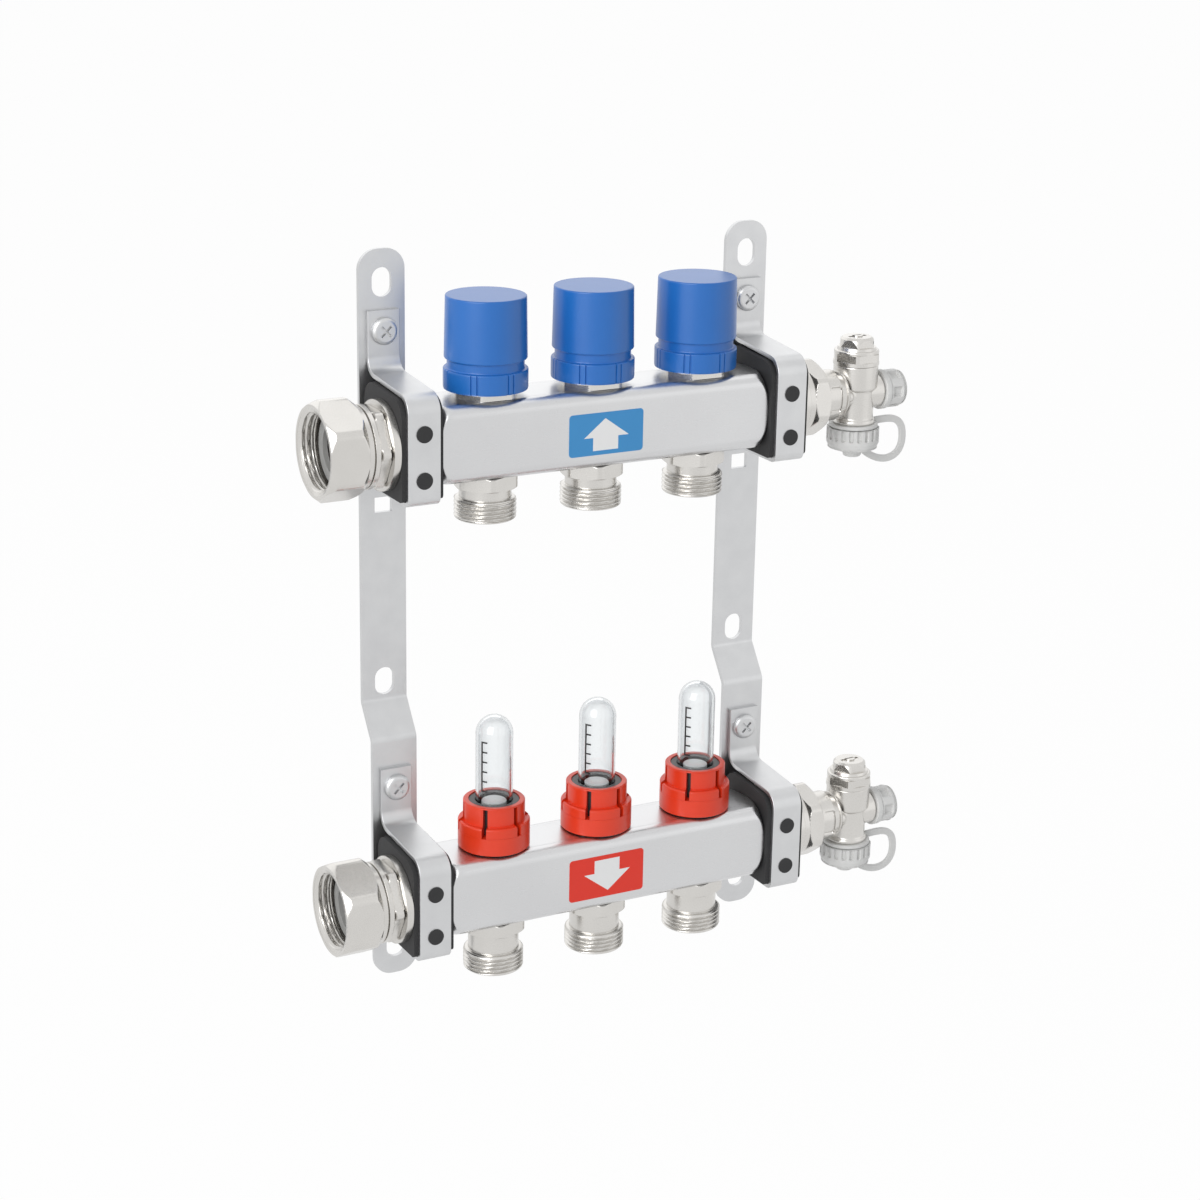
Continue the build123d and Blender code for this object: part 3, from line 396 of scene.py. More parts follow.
# %% Draw the rounded square against the barrel
BAR_HALF, BAR_CORNER, BAR_WALL, DOME, SHOULDER_END = 16.5, 5.0, 2.0, 7.3, 78.15
NECK, NECK_BORE, NECK_END = 14.3, 12.0, 96.2
TOP_HOLE, BOTTOM_HOLE = 10.6, 10.4
REACH = (BAR_HALF - BAR_CORNER) * math.sqrt(2) + BAR_CORNER + 0.3


def square_radius(angle, inset=0.0):
    """Polar radius of a rounded square: half over the larger of |cos| and |sin|, or the corner's arc.

    With k the corner centre's offset and p, q the larger and smaller of the two, the arc's radius is
    k (p + q) + sqrt(c^2 - k^2 (p - q)^2). An inset makes the square and its corners smaller.
    """
    p = np.maximum(np.abs(np.cos(angle)), np.abs(np.sin(angle)))
    q = np.minimum(np.abs(np.cos(angle)), np.abs(np.sin(angle)))
    k, c = BAR_HALF - BAR_CORNER, BAR_CORNER - inset
    arc = k * (p + q) + np.sqrt(np.maximum(c ** 2 - k ** 2 * (p - q) ** 2, 0))
    return np.where((BAR_HALF - inset) * q / p <= k, (BAR_HALF - inset) / p, arc)


def smooth_min(a, b, sharpness=55.0):
    """The smaller of two radii with a softened edge: (a^-n + b^-n)^(-1/n)."""
    return (a ** -sharpness + b ** -sharpness) ** (-1 / sharpness)


def bar_shape(angle, height, radius):
    """The softened minimum of the barrel's radius and the rounded square's, between the shoulders."""
    inside = (np.abs(height) < SHOULDER_END) & (radius > NECK)
    return np.where(inside, smooth_min(np.maximum(radius, 1e-3), square_radius(angle)), radius)


def inner_shape(angle, height, radius):
    """The bore's radius in the necks, and between them the inner square's or the inner dome's."""
    return np.where(radius > NECK_BORE, np.minimum(radius, square_radius(angle, BAR_WALL)), radius)


def drill(piece, radius, low, high, level):
    """Takes three upright cylinders out of a piece at the outlets, and keeps the cut mesh as its own.

    The modifier that keeps flat faces flat is off meanwhile, so that it doesn't act twice.
    """
    rod = [(0, low), (radius, low), (radius, high), (0, high)]
    rods = [(lathe(rod, on_bar(level, x), UP, 64), False) for x in OUTLETS]
    cutter = make_piece("drill", rods, piece.data.materials[0], "root")
    piece.modifiers["flat faces stay flat"].show_viewport = False
    cut = piece.modifiers.new("drill", "BOOLEAN")
    cut.operation = "DIFFERENCE"
    cut.object = cutter
    cut.solver = "EXACT"
    depsgraph = bpy.context.evaluated_depsgraph_get()
    mesh = bpy.data.meshes.new_from_object(piece.evaluated_get(depsgraph))
    piece.modifiers.remove(cut)
    piece.modifiers["flat faces stay flat"].show_viewport = True
    piece.data = mesh
    mesh.set_sharp_from_angle(angle=math.radians(50))
    bpy.data.objects.remove(cutter)


quarter = np.linspace(0, np.pi / 2, 28)
dome = np.stack([REACH - DOME + DOME * np.sin(quarter), SHOULDER_END - DOME + DOME * np.cos(quarter)], axis=1)
half = np.concatenate([[(NECK_BORE + 0.3, NECK_END), (NECK - 0.3, NECK_END), (NECK, NECK_END - 0.3),
                        (NECK, SHOULDER_END + 0.4), (NECK + 0.1, SHOULDER_END + 0.1)], dome[1:]])
inner_dome = dome[1:] - [[BAR_WALL, BAR_WALL]]
inner_half = np.concatenate([[(NECK_BORE, NECK_END - 0.3), (NECK_BORE, SHOULDER_END - BAR_WALL)],
                             inner_dome[inner_dome[:, 0] > NECK_BORE + 0.1]])
outer_profile = np.concatenate([half, half[::-1] * [1, -1]])
inner_profile = np.concatenate([inner_half * [1, -1], inner_half[::-1]])
for level in AXIS:
    outer = lathe(outer_profile, on_bar(level, BAR_MIDDLE), RIGHTWARDS, 360, bar_shape)
    inner = lathe(inner_profile, on_bar(level, BAR_MIDDLE), RIGHTWARDS, 360, inner_shape)
    walls = np.concatenate([outer, inner])
    tube = make_piece(f"drawn_bar_{level}", [(walls, True)], stainless, "root", [f"{level}_bar"],
                      50)
    drill(tube, TOP_HOLE, 5.0, BAR_HALF + 3, level)
    drill(tube, BOTTOM_HOLE, -BAR_HALF - 3, -5.0, level)
print("bars made, reach", round(REACH, 2), "faces", len(tube.data.polygons))

# %% [markdown]
# ## The outlets
#
# Each circuit's pipe is pushed against a cone and held by a nut on the outlet's outside thread. A
# pipe thread of this size has one ridge every 1.8 mm. The thread is left off the solid, because the
# bore for the mating nut is measured there, so the surface below stands for that node.

# %% Turn the outlet nipples
HEX_TOP, HEX_FOOT = -BAR_HALF, -22.5
PIPE_RADIUS, PIPE_PITCH = 13.2, 1.814


def nipple_profile(end):
    """Outside from the bar down to the rim, up the cone and the bore, as radius and height."""
    thread_top = end + 9.2
    outside = softened([(8.0, -13.5), (BOTTOM_HOLE, -13.5), (BOTTOM_HOLE, HEX_TOP), (13.1, HEX_TOP),
                        (13.86, -17.0), (13.86, -22.0), (13.1, HEX_FOOT), (11.1, HEX_FOOT),
                        (11.1, thread_top), (12.4, thread_top), (PIPE_RADIUS, thread_top - 0.8)], 0.25)
    rim = softened([(PIPE_RADIUS, end + 0.8), (12.4, end), (9.9, end), (8.0, end + 5.0)], 0.25)
    return np.concatenate([outside, run(PIPE_RADIUS, thread_top - 0.85, end + 0.85, 54), rim])


def nipple_shape(end):
    """Hexagon under the bar with its corners turned off, and the pipe thread above the rim."""
    return in_turn(hexagon_between(HEX_FOOT, HEX_TOP, across=25.0, turn=19.0),
                   thread_between(end + 0.6, end + 8.8, PIPE_PITCH, depth=1.0, inner=12.5))


for level in AXIS:
    end = -BAR_HALF - DROP[level]
    for number, x in enumerate(OUTLETS, 1):
        surface = lathe(nipple_profile(end), on_bar(level, x), UP, 144, nipple_shape(end))
        make_piece(f"threaded_outlet_{level}_{number}", [(surface, True)], nickel, "root",
                   [f"outlet_nipple_{level}_{number}"])
print("six outlets")

# %% [markdown]
# ## The blue caps
#
# A cap protects the valve and opens it by hand. It has a body with a slight taper, a groove, and a
# skirt with seven pairs of narrow grips. The grips are cut by lowering the radius near each one, so
# the angles are packed closer together there instead of everywhere.

# %% Turn the caps
def angles_near(centres, spread, columns=144, extra=13):
    """Even angles round the part, with more of them packed around the given centres."""
    even = np.linspace(0, 2 * np.pi, columns, endpoint=False)
    close = (np.asarray(centres)[:, None] + np.linspace(-spread, spread, extra)[None]).ravel()
    return np.unique(np.round(np.mod(np.concatenate([even, close]), 2 * np.pi), 5))


GRIPS = np.radians(-90 - 41 + np.arange(7)[:, None] * 360 / 7 + np.array([-4.25, 4.25])[None]).ravel()
SKIRT_RADIUS, SKIRT_TOP = 17.7, 28.3


def grip_shape(angle, height, radius):
    """Lowers the skirt's radius by 0.55 mm in a notch 0.8 mm wide with sloping sides at each grip."""
    turned = np.abs(np.mod(angle[..., None] - GRIPS + np.pi, 2 * np.pi) - np.pi).min(axis=-1)
    notch = 0.55 * np.clip(1.6 - turned * SKIRT_RADIUS / 0.25, 0, 1)
    return np.where((radius > 17.0) & (height < SKIRT_TOP + 0.05), radius - notch, radius)


cap_profile = np.concatenate([
    softened([(0, 43.5), (4.0, 43.5), (4.0, 56.4), (13.9, 56.4), (13.9, 37.0), (15.05, 37.0),
              (15.05, 19.7), (SKIRT_RADIUS, 19.7)], 0.3),
    softened([(SKIRT_RADIUS, 19.9), (SKIRT_RADIUS, SKIRT_TOP), (16.1, SKIRT_TOP), (16.1, 32.4),
              (17.35, 32.4), (16.85, 58.6), (0, 58.6)], 0.7, 6)])
cap_angles = angles_near(GRIPS, spread=0.045)
for number, x in enumerate(OUTLETS, 1):
    surface = lathe(cap_profile, on_bar("upper", x), UP, shape=grip_shape, angles=cap_angles)
    make_piece(f"gripped_cap_{number}", [(surface, False)], blue, f"valve_cap_{number}",
               [f"valve_cap_{number}"])
print("three caps")

# %% [markdown]
# ## The flow meters
#
# Each circuit's flow is read on a clear tube: the water lifts a float behind a printed scale. The
# tube stands in a black bush, and a red ring round it sets the flow. The ring has six slots that go
# right through. A lathe can't cut those, so the wall between two slots is its own surface: the
# wall's outline carried round from one slot to the next, between a plain lower ring and a rim.

# %% Carry an outline through part of a turn
def with_flat_ends(points):
    """The grid with one more row at each end, drawn together to the middle of the row beside it."""
    ends = [np.broadcast_to(row.mean(axis=0), row.shape)[None] for row in (points[0], points[-1])]
    return np.concatenate([ends[0], points, ends[1]])


def sector(outline, start, end, place, side_gap=0.0, steps=24):
    """A closed grid: the (radius, height) outline swept from one angle to another, with flat ends.

    A gap shortens both ends by asin(gap / radius), which leaves a slot with parallel sides.
    """
    outline = np.asarray(outline, float)
    share = np.linspace(0, 1, steps)[:, None]
    shift = np.arcsin(np.clip(side_gap / outline[None, :, 0], 0, 1))
    angle = start + shift + share * (end - start - 2 * shift)
    points = np.stack([outline[:, 0] * np.cos(angle), outline[:, 0] * np.sin(angle),
                       np.broadcast_to(outline[:, 1], angle.shape)], axis=-1)
    return with_flat_ends(points) + np.asarray(place, float)


def closed_lathe(profile, place, direction=UP, columns=192, shape=None):
    """A lathe grid whose profile closes on itself, as a ring's or a tube's does, ready for make_piece."""
    return lathe(profile, place, direction, columns, shape), True


# %% Mould the red rings
SLOTS = np.radians(-90 - 42 + np.arange(7) * 60)
SLOT_FOOT, SLOT_TOP = 25.0, 37.5
RING_FOOT, RING_NECK, RING_BORE = 15.6, 13.4, 11.05
lower_wall = softened([(15.2, 17.1), (RING_FOOT, 17.5), (RING_FOOT, SLOT_FOOT), (RING_BORE, SLOT_FOOT),
                       (RING_BORE, 19.0), (14.3, 19.0), (14.3, 17.1)], 0.01)
middle_wall = softened([(RING_FOOT, SLOT_FOOT), (RING_FOOT, 28.9), (15.0, 29.5), (RING_NECK, 29.5),
                        (RING_NECK, SLOT_TOP), (RING_BORE, SLOT_TOP), (RING_BORE, SLOT_FOOT)], 0.2)
rim_wall = softened([(RING_NECK, SLOT_TOP), (RING_NECK, 37.8), (13.0, 38.2), (RING_BORE, 38.2),
                     (RING_BORE, SLOT_TOP)], 0.15)
for number, x in enumerate(OUTLETS, 1):
    place = on_bar("lower", x)
    turned = [closed_lathe(lower_wall, place), closed_lathe(rim_wall, place)]
    walls = [(sector(middle_wall, start, end, place, side_gap=1.0), False)
             for start, end in zip(SLOTS[:-1], SLOTS[1:])]
    make_piece(f"slotted_ring_{number}", turned + walls, red, f"flow_ring_{number}",
               [f"flow_ring_{number}"], 30)
print("three red rings")

# %% Turn the bush, the tube and the float
TUBE_RADIUS, TUBE_BORE, DOME_LEVEL = 8.1, 6.9, 68.1


def dome_profile(radius):
    """A quarter circle from the tube's wall up to its axis, as radius and height."""
    curve = np.linspace(0, np.pi / 2, 20)[:, None]
    profile = np.concatenate([radius * np.cos(curve), DOME_LEVEL + radius * np.sin(curve)], axis=1)
    profile[-1, 0] = 0
    return profile


bush_wall = softened([(3.0, 10.5), (TOP_HOLE, 10.5), (TOP_HOLE, BAR_HALF), (14.0, BAR_HALF),
                      (14.0, 18.9), (11.0, 18.9), (11.0, 37.8), (8.15, 37.8), (8.15, 23.5),
                      (3.0, 23.5)], 0.3)
tube_wall = np.concatenate([
    [(TUBE_RADIUS, 23.5), (TUBE_RADIUS, 40.0), (TUBE_RADIUS, 55.0)], dome_profile(TUBE_RADIUS),
    dome_profile(TUBE_BORE)[::-1], [(TUBE_BORE, 55.0), (TUBE_BORE, 40.0), (TUBE_BORE, 23.5)]])
float_wall = softened([(0, -13.8), (7.5, -13.8), (7.5, -11.8), (1.2, -11.8), (1.2, 35.5), (5.4, 35.5),
                       (5.4, 37.5), (0, 37.5)], 0.3)
for number, x in enumerate(OUTLETS, 1):
    place = on_bar("lower", x)
    make_piece(f"turned_bush_{number}", [closed_lathe(bush_wall, place)], black, "root",
               [f"flow_bush_{number}"])
    make_piece(f"domed_tube_{number}", [closed_lathe(tube_wall, place, columns=96)], clear, "root",
               [f"sight_glass_{number}"], 80)
    stem = lathe(float_wall, place, columns=64)
    make_piece(f"float_on_stem_{number}", [(stem, False)], sign_white, f"flow_float_{number}",
               [f"flow_float_{number}"])
print("three bushes, tubes and floats")

# %% Print the scales
SCALE_ANGLE, SCALE_LOW, SCALE_STEP = math.radians(-90 - 66), 43.8, 4.45
HALF_STROKE = 0.35


def ink_patch(place, start, end, low, high):
    """A patch of print 0.06 mm proud of the tube, between two angles and two heights."""
    inside, outside = TUBE_RADIUS - 0.02, TUBE_RADIUS + 0.06
    outline = [(inside, low), (outside, low), (outside, high), (inside, high)]
    return sector(outline, start, end, place, steps=6), False


for number, x in enumerate(OUTLETS, 1):
    place = on_bar("lower", x)
    foot, top = SCALE_LOW - HALF_STROKE, SCALE_LOW + 5 * SCALE_STEP + HALF_STROKE
    marks = [ink_patch(place, SCALE_ANGLE - 0.05, SCALE_ANGLE + 0.05, foot, top)]
    for step in range(6):
        z = SCALE_LOW + step * SCALE_STEP
        foot, top = z - HALF_STROKE, z + HALF_STROKE
        marks.append(ink_patch(place, SCALE_ANGLE + 0.05, SCALE_ANGLE + 0.32, foot, top))
    make_piece(f"flow_scale_{number}", marks, ink, "root")
print("three scales")

# %% [markdown]
# ## The unions on the left
#
# A loose nut holds the pipe against a flat gasket, so its thread is on the inside and catches the
# light as a row of rings. Its corners are turned off and both ends are chamfered: the smaller of the
# cone's radius and the flat's radius gives the curved edges of the real nut.

# %% Turn the tails and the nuts
NUT_BORE, NUT_PITCH, NUT_FLAT = 16.6, 2.309, 21.3
tail_wall = np.concatenate([
    softened([(10.5, -13.0), (12.0, -13.0), (12.0, 0), (19.0, 0), (19.0, 3.4)], 0.4),
    [(15.4, 3.41), (16.6, 3.5), (17.8, 4.1), (17.8, 7.4), (16.6, 8.0), (15.4, 8.09)],
    softened([(15.9, 8.1), (17.0, 8.1), (17.6, 8.5), (17.6, 10.5), (16.4, 10.7), (16.4, 11.0),
              (17.6, 11.2), (17.6, 13.3), (17.0, 13.7), (13.0, 13.7), (13.0, 17.9), (14.8, 17.9),
              (14.8, 20.3), (10.5, 20.3)], 0.2)])
nut_wall = np.concatenate([
    softened([(13.05, 14.0), (19.2, 14.0)], 0.2), np.linspace((19.4, 14.05), (NUT_FLAT, 16.4), 8),
    [(NUT_FLAT, 18.0), (NUT_FLAT, 22.3), (NUT_FLAT, 26.5)],
    np.linspace((NUT_FLAT, 28.2), (19.4, 30.55), 8), softened([(19.2, 30.6), (17.6, 30.6)], 0.2),
    run(NUT_BORE, 29.9, 22.8, 48), [(NUT_BORE, 22.6), (17.1, 22.5), (17.1, 17.6), (13.05, 17.6)]])


def inside_thread(angle, height, radius):
    """Inside the nut the crests come inwards: the radius falls by 1.2 mm times a triangle wave."""
    wave = triangle_wave(height / NUT_PITCH + angle / (2 * np.pi))
    fade = np.clip(np.minimum(height - 22.7, 30.2 - height) / 1.2, 0, 1)
    return np.where(np.abs(radius - NUT_BORE) < 0.01, radius - 1.2 * wave * fade, radius)


for level in AXIS:
    place = on_bar(level, LEFT_NECK)
    tail_hexagon = hexagon_between(3.405, 8.095, across=31.5, turn=30.0)
    tail = closed_lathe(tail_wall, place, LEFTWARDS, 192, tail_hexagon)
    make_piece(f"turned_tail_{level}", [tail], nickel, "root", [f"union_tail_{level}"],
               30)
    nut_shape = in_turn(hexagon_between(14.04, 30.56, across=38.4), inside_thread)
    nut = closed_lathe(nut_wall, place, LEFTWARDS, 192, nut_shape)
    make_piece(f"threaded_nut_{level}", [nut], nickel, f"union_nut_{level}", [f"union_nut_{level}"],
               30)
print("tails and nuts")

# %% [markdown]
# ## The right ends
#
# The end piece closes the bar and carries an air vent, a side plug and a hose outlet. It is a
# casting with a few turned parts on it, so it is several lathe surfaces on two axes that run into
# each other. The key recess on its arm is a dip in the radius, with rounded corners.

# %% Turn the end body and its nut
def dip(centre_angle, centre_height, half_width, half_height, depth, corner, at_radius, repeat=1):
    """A shape function that sinks rounded rectangles into the surface, evenly repeated round it.

    With d the distance by which a point is outside the rectangle less its corners, the radius falls
    by the depth times (corner - d) / 0.3, kept between 0 and 1.
    """
    def shape(angle, height, radius):
        turn = 2 * np.pi / repeat
        away = (np.mod(angle - centre_angle + turn / 2, turn) - turn / 2) * at_radius
        dx = np.maximum(np.abs(away) - (half_width - corner), 0)
        dz = np.maximum(np.abs(height - centre_height) - (half_height - corner), 0)
        inside = np.clip((corner - np.hypot(dx, dz)) / 0.3, 0, 1)
        return np.where(np.abs(radius - at_radius) < 0.4, radius - depth * inside, radius)
    return shape


END_NUT_FLAT, ARM_RADIUS, BALL_RADIUS = 16.96, 11.4, 2.6
END_NUT = np.concatenate([softened([(11.0, 4.0), (15.4, 4.0), (15.4, 7.0)], 0.3),
                          np.linspace((15.4, 7.02), (END_NUT_FLAT, 8.2), 6),
                          [(END_NUT_FLAT, 10.0), (END_NUT_FLAT, 12.0)],
                          np.linspace((END_NUT_FLAT, 13.4), (15.4, 14.58), 6),
                          softened([(15.3, 14.6), (11.0, 14.6)], 0.2)])
ARM = np.concatenate([softened([(0, -13), (12.0, -13.0), (12.0, 0), (16.2, 0), (16.2, 4.0),
                                (11.0, 4.0), (11.0, 14.6)], 0.4),
                      [(11.3, 14.6), (ARM_RADIUS, 14.7)], run(ARM_RADIUS, 14.8, 23.4, 56),
                      softened([(ARM_RADIUS, 26.6), (7.6, 26.6), (7.6, 36.8), (0, 36.8)], 2.4, 8)[:-1],
                      [(0, 36.8)]])
TOWER_WALL = softened([(0, -22.8), (5.9, -22.8), (8.4, -22.8), (8.4, -13.8), (9.4, -13.8),
                       (9.4, -12.0), (8.6, -11.2), (8.6, 1.4), (10.0, 2.6), (10.0, 13.0),
                       (0, 13.0)], 0.6)
SIDE_WALL = softened([(0, 0), (7.6, 0), (7.6, 11.6), (5.6, 11.6), (5.6, 17.6), (0, 17.6)], 0.9, 6)
half_turn = np.linspace(0, np.pi, 24)
BALL = BALL_RADIUS * np.stack([np.sin(half_turn), -np.cos(half_turn)], axis=1)
BALL[[0, -1], 0] = 0
FRONT_OF_ARM = math.radians(-90)
recess = dip(FRONT_OF_ARM, 20.6, half_width=6.2, half_height=2.9, depth=0.9, corner=1.3,
             at_radius=ARM_RADIUS)
for level in AXIS:
    place, tower = on_bar(level, RIGHT_NECK), on_bar(level, TOWER)
    grids = [(lathe(ARM, place, RIGHTWARDS, 360, recess), False),
             (lathe(TOWER_WALL, tower, UP, 128), False),
             (lathe(SIDE_WALL, tower, RIGHTWARDS, 96), False),
             (lathe(BALL, tower + [-8.0, -7.0, 0.0], UP, 40), False)]
    make_piece(f"cast_end_{level}", grids, nickel, "root", [f"end_body_{level}"], 35)
    nut_hexagon = hexagon_between(7.01, 14.59, across=30.6, turn=-7.5)
    nut = closed_lathe(END_NUT, place, RIGHTWARDS, 192, nut_hexagon)
    make_piece(f"lock_nut_{level}", [nut], nickel, "root", [f"end_nut_{level}"], 30)
print("end bodies and nuts")

# %% [markdown]
# The side plug is gripped by six square recesses and the hose cap by twenty slots that are round at
# the bottom and open at the top. Both are dips in a turned wall, repeated round it.

# %% Mould the plug and the hose cap
PLUG_RADIUS, CUP_RADIUS, CUP_RIM, BUTTON = 8.5, 11.8, -15.7, -29.4
RIB_COUNT, RIB_DEPTH, RIB_FOOT = 20, 1.4, CUP_RIM - 4.2
plug_wall = np.concatenate([
    [(0, 17.9)],
    softened([(5.65, 17.9), (5.65, 11.9), (8.9, 11.9), (8.9, 14.4), (PLUG_RADIUS, 14.6)], 0.3),
    run(PLUG_RADIUS, 14.9, 21.0, 40), softened([(PLUG_RADIUS, 22.9), (0, 22.9)], 1.3, 7)[:-1],
    [(0, 22.9)]])
cup_wall = np.concatenate([
    [(0, -23.1)], softened([(8.45, -23.1), (8.45, CUP_RIM), (11.7, CUP_RIM)], 0.2),
    run(CUP_RADIUS, CUP_RIM - 0.1, -22.4, 44),
    softened([(CUP_RADIUS, -24.7), (4.15, -24.7), (4.15, BUTTON), (0, BUTTON)], 1.4, 7)[:-1],
    [(0, BUTTON)]])


def ribs(angle, height, radius):
    """U-shaped slots from the rim down: the radius falls within 1 mm of each slot's middle line.

    Below the line's foot the distance is measured from the foot, so the slot ends in a half circle.
    """
    turn = 2 * np.pi / RIB_COUNT
    away = (np.mod(angle + turn / 2, turn) - turn / 2) * CUP_RADIUS
    below = np.maximum(RIB_FOOT - height, 0)
    inside = np.clip((1.0 - np.hypot(away, below)) / 0.25, 0, 1)
    return np.where(np.abs(radius - CUP_RADIUS) < 0.3, radius - RIB_DEPTH * inside, radius)


grips = dip(FRONT_OF_ARM, 18.1, half_width=2.5, half_height=2.5, depth=1.7, corner=0.4,
            at_radius=PLUG_RADIUS, repeat=6)
for level in AXIS:
    tower = on_bar(level, TOWER)
    plug = lathe(plug_wall, tower, RIGHTWARDS, 480, grips)
    make_piece(f"gripped_plug_{level}", [(plug, False)], pale, f"side_plug_{level}",
               [f"side_plug_{level}"])
    cup = lathe(cup_wall, tower, UP, 480, ribs)
    make_piece(f"ribbed_cap_{level}", [(cup, False)], pale, f"hose_cap_{level}",
               [f"hose_cap_{level}"])
print("plugs and hose caps")

# %% [markdown]
# ## Bent and flat pieces
#
# A clamp is one strip of sheet bent three times. Its rectangle is carried along the bend line, and at
# each bend the line is an arc, so both faces stay parallel. The strap of the hose cap is made the
# same way, on a smooth curve instead of arcs.

# %% Carry a section along a line in a plane
def bent_line(corners, radii, steps=12):
    """Points of a line whose corners are arcs: each arc starts R tan(turn / 2) before its corner."""
    corners = np.asarray(corners, float)
    line = [corners[0][None]]
    for before, corner, after, radius in zip(corners[:-2], corners[1:-1], corners[2:], radii):
        coming = (corner - before) / np.linalg.norm(corner - before)
        going = (after - corner) / np.linalg.norm(after - corner)
        turn = math.atan2(coming[0] * going[1] - coming[1] * going[0], coming @ going)
        normal = np.array([-coming[1], coming[0]]) * np.sign(turn)
        start = corner - coming * radius * math.tan(abs(turn) / 2)
        centre = start + normal * radius
        angle = np.linspace(0, turn, steps)
        spoke = start - centre
        line.append(centre + np.stack([spoke[0] * np.cos(angle) - spoke[1] * np.sin(angle),
                                       spoke[0] * np.sin(angle) + spoke[1] * np.cos(angle)], axis=1))
    return np.concatenate([*line, corners[-1][None]])


def carried(line, width, thickness, edge=0.3):
    """A rounded rectangle carried along a line in a plane: point + offset * normal, width across it.

    The grid's points are (across, along the plane's first axis, along its second axis), with flat ends.
    """
    along = np.gradient(line, axis=0)
    along /= np.linalg.norm(along, axis=1, keepdims=True)
    normal = np.stack([-along[:, 1], along[:, 0]], axis=1)
    side, face = width / 2, thickness / 2
    section = softened([(side, -face), (side, face), (-side, face), (-side, -face)], edge)
    across = np.broadcast_to(section[None, :, 0], (len(line), len(section)))
    plane = line[:, None] + normal[:, None] * section[None, :, 1:2]
    return with_flat_ends(np.concatenate([across[..., None], plane], axis=-1))


# %% Bend the clamps
clamp_line = bent_line([(-1.0, 51.2), (-1.0, 25.8), (-41.1, 22.6), (-41.1, -21.5), (0.0, -21.5)],
                       [7.0, 7.0, 3.0])
tongue_line = np.array([(-0.5, -21.5), (0.7, -21.5), (2.0, -21.5)])
STRIP_FACE = {"upper": -2.0, "lower": -12.3}
for level in AXIS:
    for side, x in STRIPS.items():
        place = np.array([x, STRIP_FACE[level], AXIS[level][2]])
        strap = carried(clamp_line, 14.4, 2.0) + place
        tongue = carried(tongue_line, 8.0, 2.0, 0.15) + place
        make_piece(f"bent_clamp_{level}_{side}", [(strap, False), (tongue, False)], zinc, "root",
                   [f"clamp_{level}_{side}"])
print("four clamps")

# %% Curve the straps
def smooth_curve(knots, tangents, steps=24):
    """Cubic pieces between knots, which keep their direction: h00 P0 + h10 T0 + h01 P1 + h11 T1."""
    knots, tangents = np.array(knots, float), np.array(tangents, float)
    t = np.linspace(0, 1, steps)[:, None]
    h00, h10 = 2 * t**3 - 3 * t**2 + 1, t**3 - 2 * t**2 + t
    h01, h11 = 3 * t**2 - 2 * t**3, t**3 - t**2
    parts = [h00 * p0 + h10 * t0 + h01 * p1 + h11 * t1
             for p0, p1, t0, t1 in zip(knots[:-1], knots[1:], tangents[:-1], tangents[1:])]
    return np.concatenate([parts[0], *[part[1:] for part in parts[1:]]])


loop = smooth_curve([(10.4, -14.2), (26.9, -23.4), (5.6, -26.9)], [(25, 1), (0, -33), (-27, 25)])
top_ring = softened([(8.45, -15.4), (11.0, -15.4), (11.0, -13.8), (8.45, -13.8)], 0.4)
low_ring = softened([(4.2, -26.6), (6.8, -26.6), (6.8, -25.0), (4.2, -25.0)], 0.4)
for level in AXIS:
    tower = on_bar(level, TOWER)
    band = carried(loop, 1.6, 3.2, 0.35)[..., [1, 0, 2]] + tower
    grids = [(band, False), closed_lathe(top_ring, tower, UP, 128),
             closed_lathe(low_ring, tower, UP, 96)]
    make_piece(f"looped_strap_{level}", grids, pale, "root", [f"cap_strap_{level}"])
print("two straps")

# %% [markdown]
# ## The printed signs
#
# Blue with an arrow up marks the return, red with an arrow down marks the supply. Each is a thin
# plate on the bar's front. An arrow can be filled from one point inside it that sees its whole
# outline, so it needs no more than a ring of points and two poles.

# %% Stick the signs on
def rounded_plate(left, right, low, high, corner, steps=8):
    """The outline of a rectangle with quarter circles at its corners."""
    angle = np.linspace(0, np.pi / 2, steps)
    arcs = [np.stack([x + corner * np.cos(angle + start), z + corner * np.sin(angle + start)], axis=1)
            for x, z, start in ((right - corner, high - corner, 0),
                                (left + corner, high - corner, np.pi / 2),
                                (left + corner, low + corner, np.pi),
                                (right - corner, low + corner, 1.5 * np.pi))]
    return np.concatenate(arcs)


def thin_plate(outline, centre, front, thickness, x, z):
    """A plate facing -Y: two poles and the outline at both faces."""
    outline = np.asarray(outline, float)
    pole = np.broadcast_to(np.asarray(centre, float), outline.shape)
    rows = [(pole, front), (outline, front), (outline, front + thickness), (pole, front + thickness)]
    return np.stack([np.stack([row[:, 0] + x, np.full(len(row), y), row[:, 1] + z], axis=1)
                     for row, y in rows])


UP_ARROW = [(-2.3, 5.4), (-12.3, -2.6), (-8.0, -2.6), (-8.0, -8.3), (3.9, -8.3), (3.9, -2.6), (8.9, -2.6)]
DOWN_ARROW = [(-2.4, -7.6), (-14.2, 1.2), (-9.1, 1.2), (-9.1, 7.2), (3.2, 7.2), (3.2, 1.2), (8.4, 1.2)]
SIGNS = {"upper": ((-19.3, 15.8, -10.2, 8.0), UP_ARROW, (-2.2, -1.5), sign_blue),
         "lower": ((-21.4, 15.2, -10.4, 9.2), DOWN_ARROW, (-2.6, 0.4), sign_red)}
for level, (edges, arrow, middle, material) in SIGNS.items():
    x, y, z = on_bar(level, BAR_MIDDLE)
    front = y - BAR_HALF
    plate = thin_plate(rounded_plate(*edges, 1.6), (-2, 0), front - 0.12, 0.14, x, z)
    make_piece(f"sign_{level}", [(plate, False)], material, "root")
    white = thin_plate(arrow, middle, front - 0.16, 0.06, x, z)
    make_piece(f"arrow_{level}", [(white, False)], sign_white, "root")
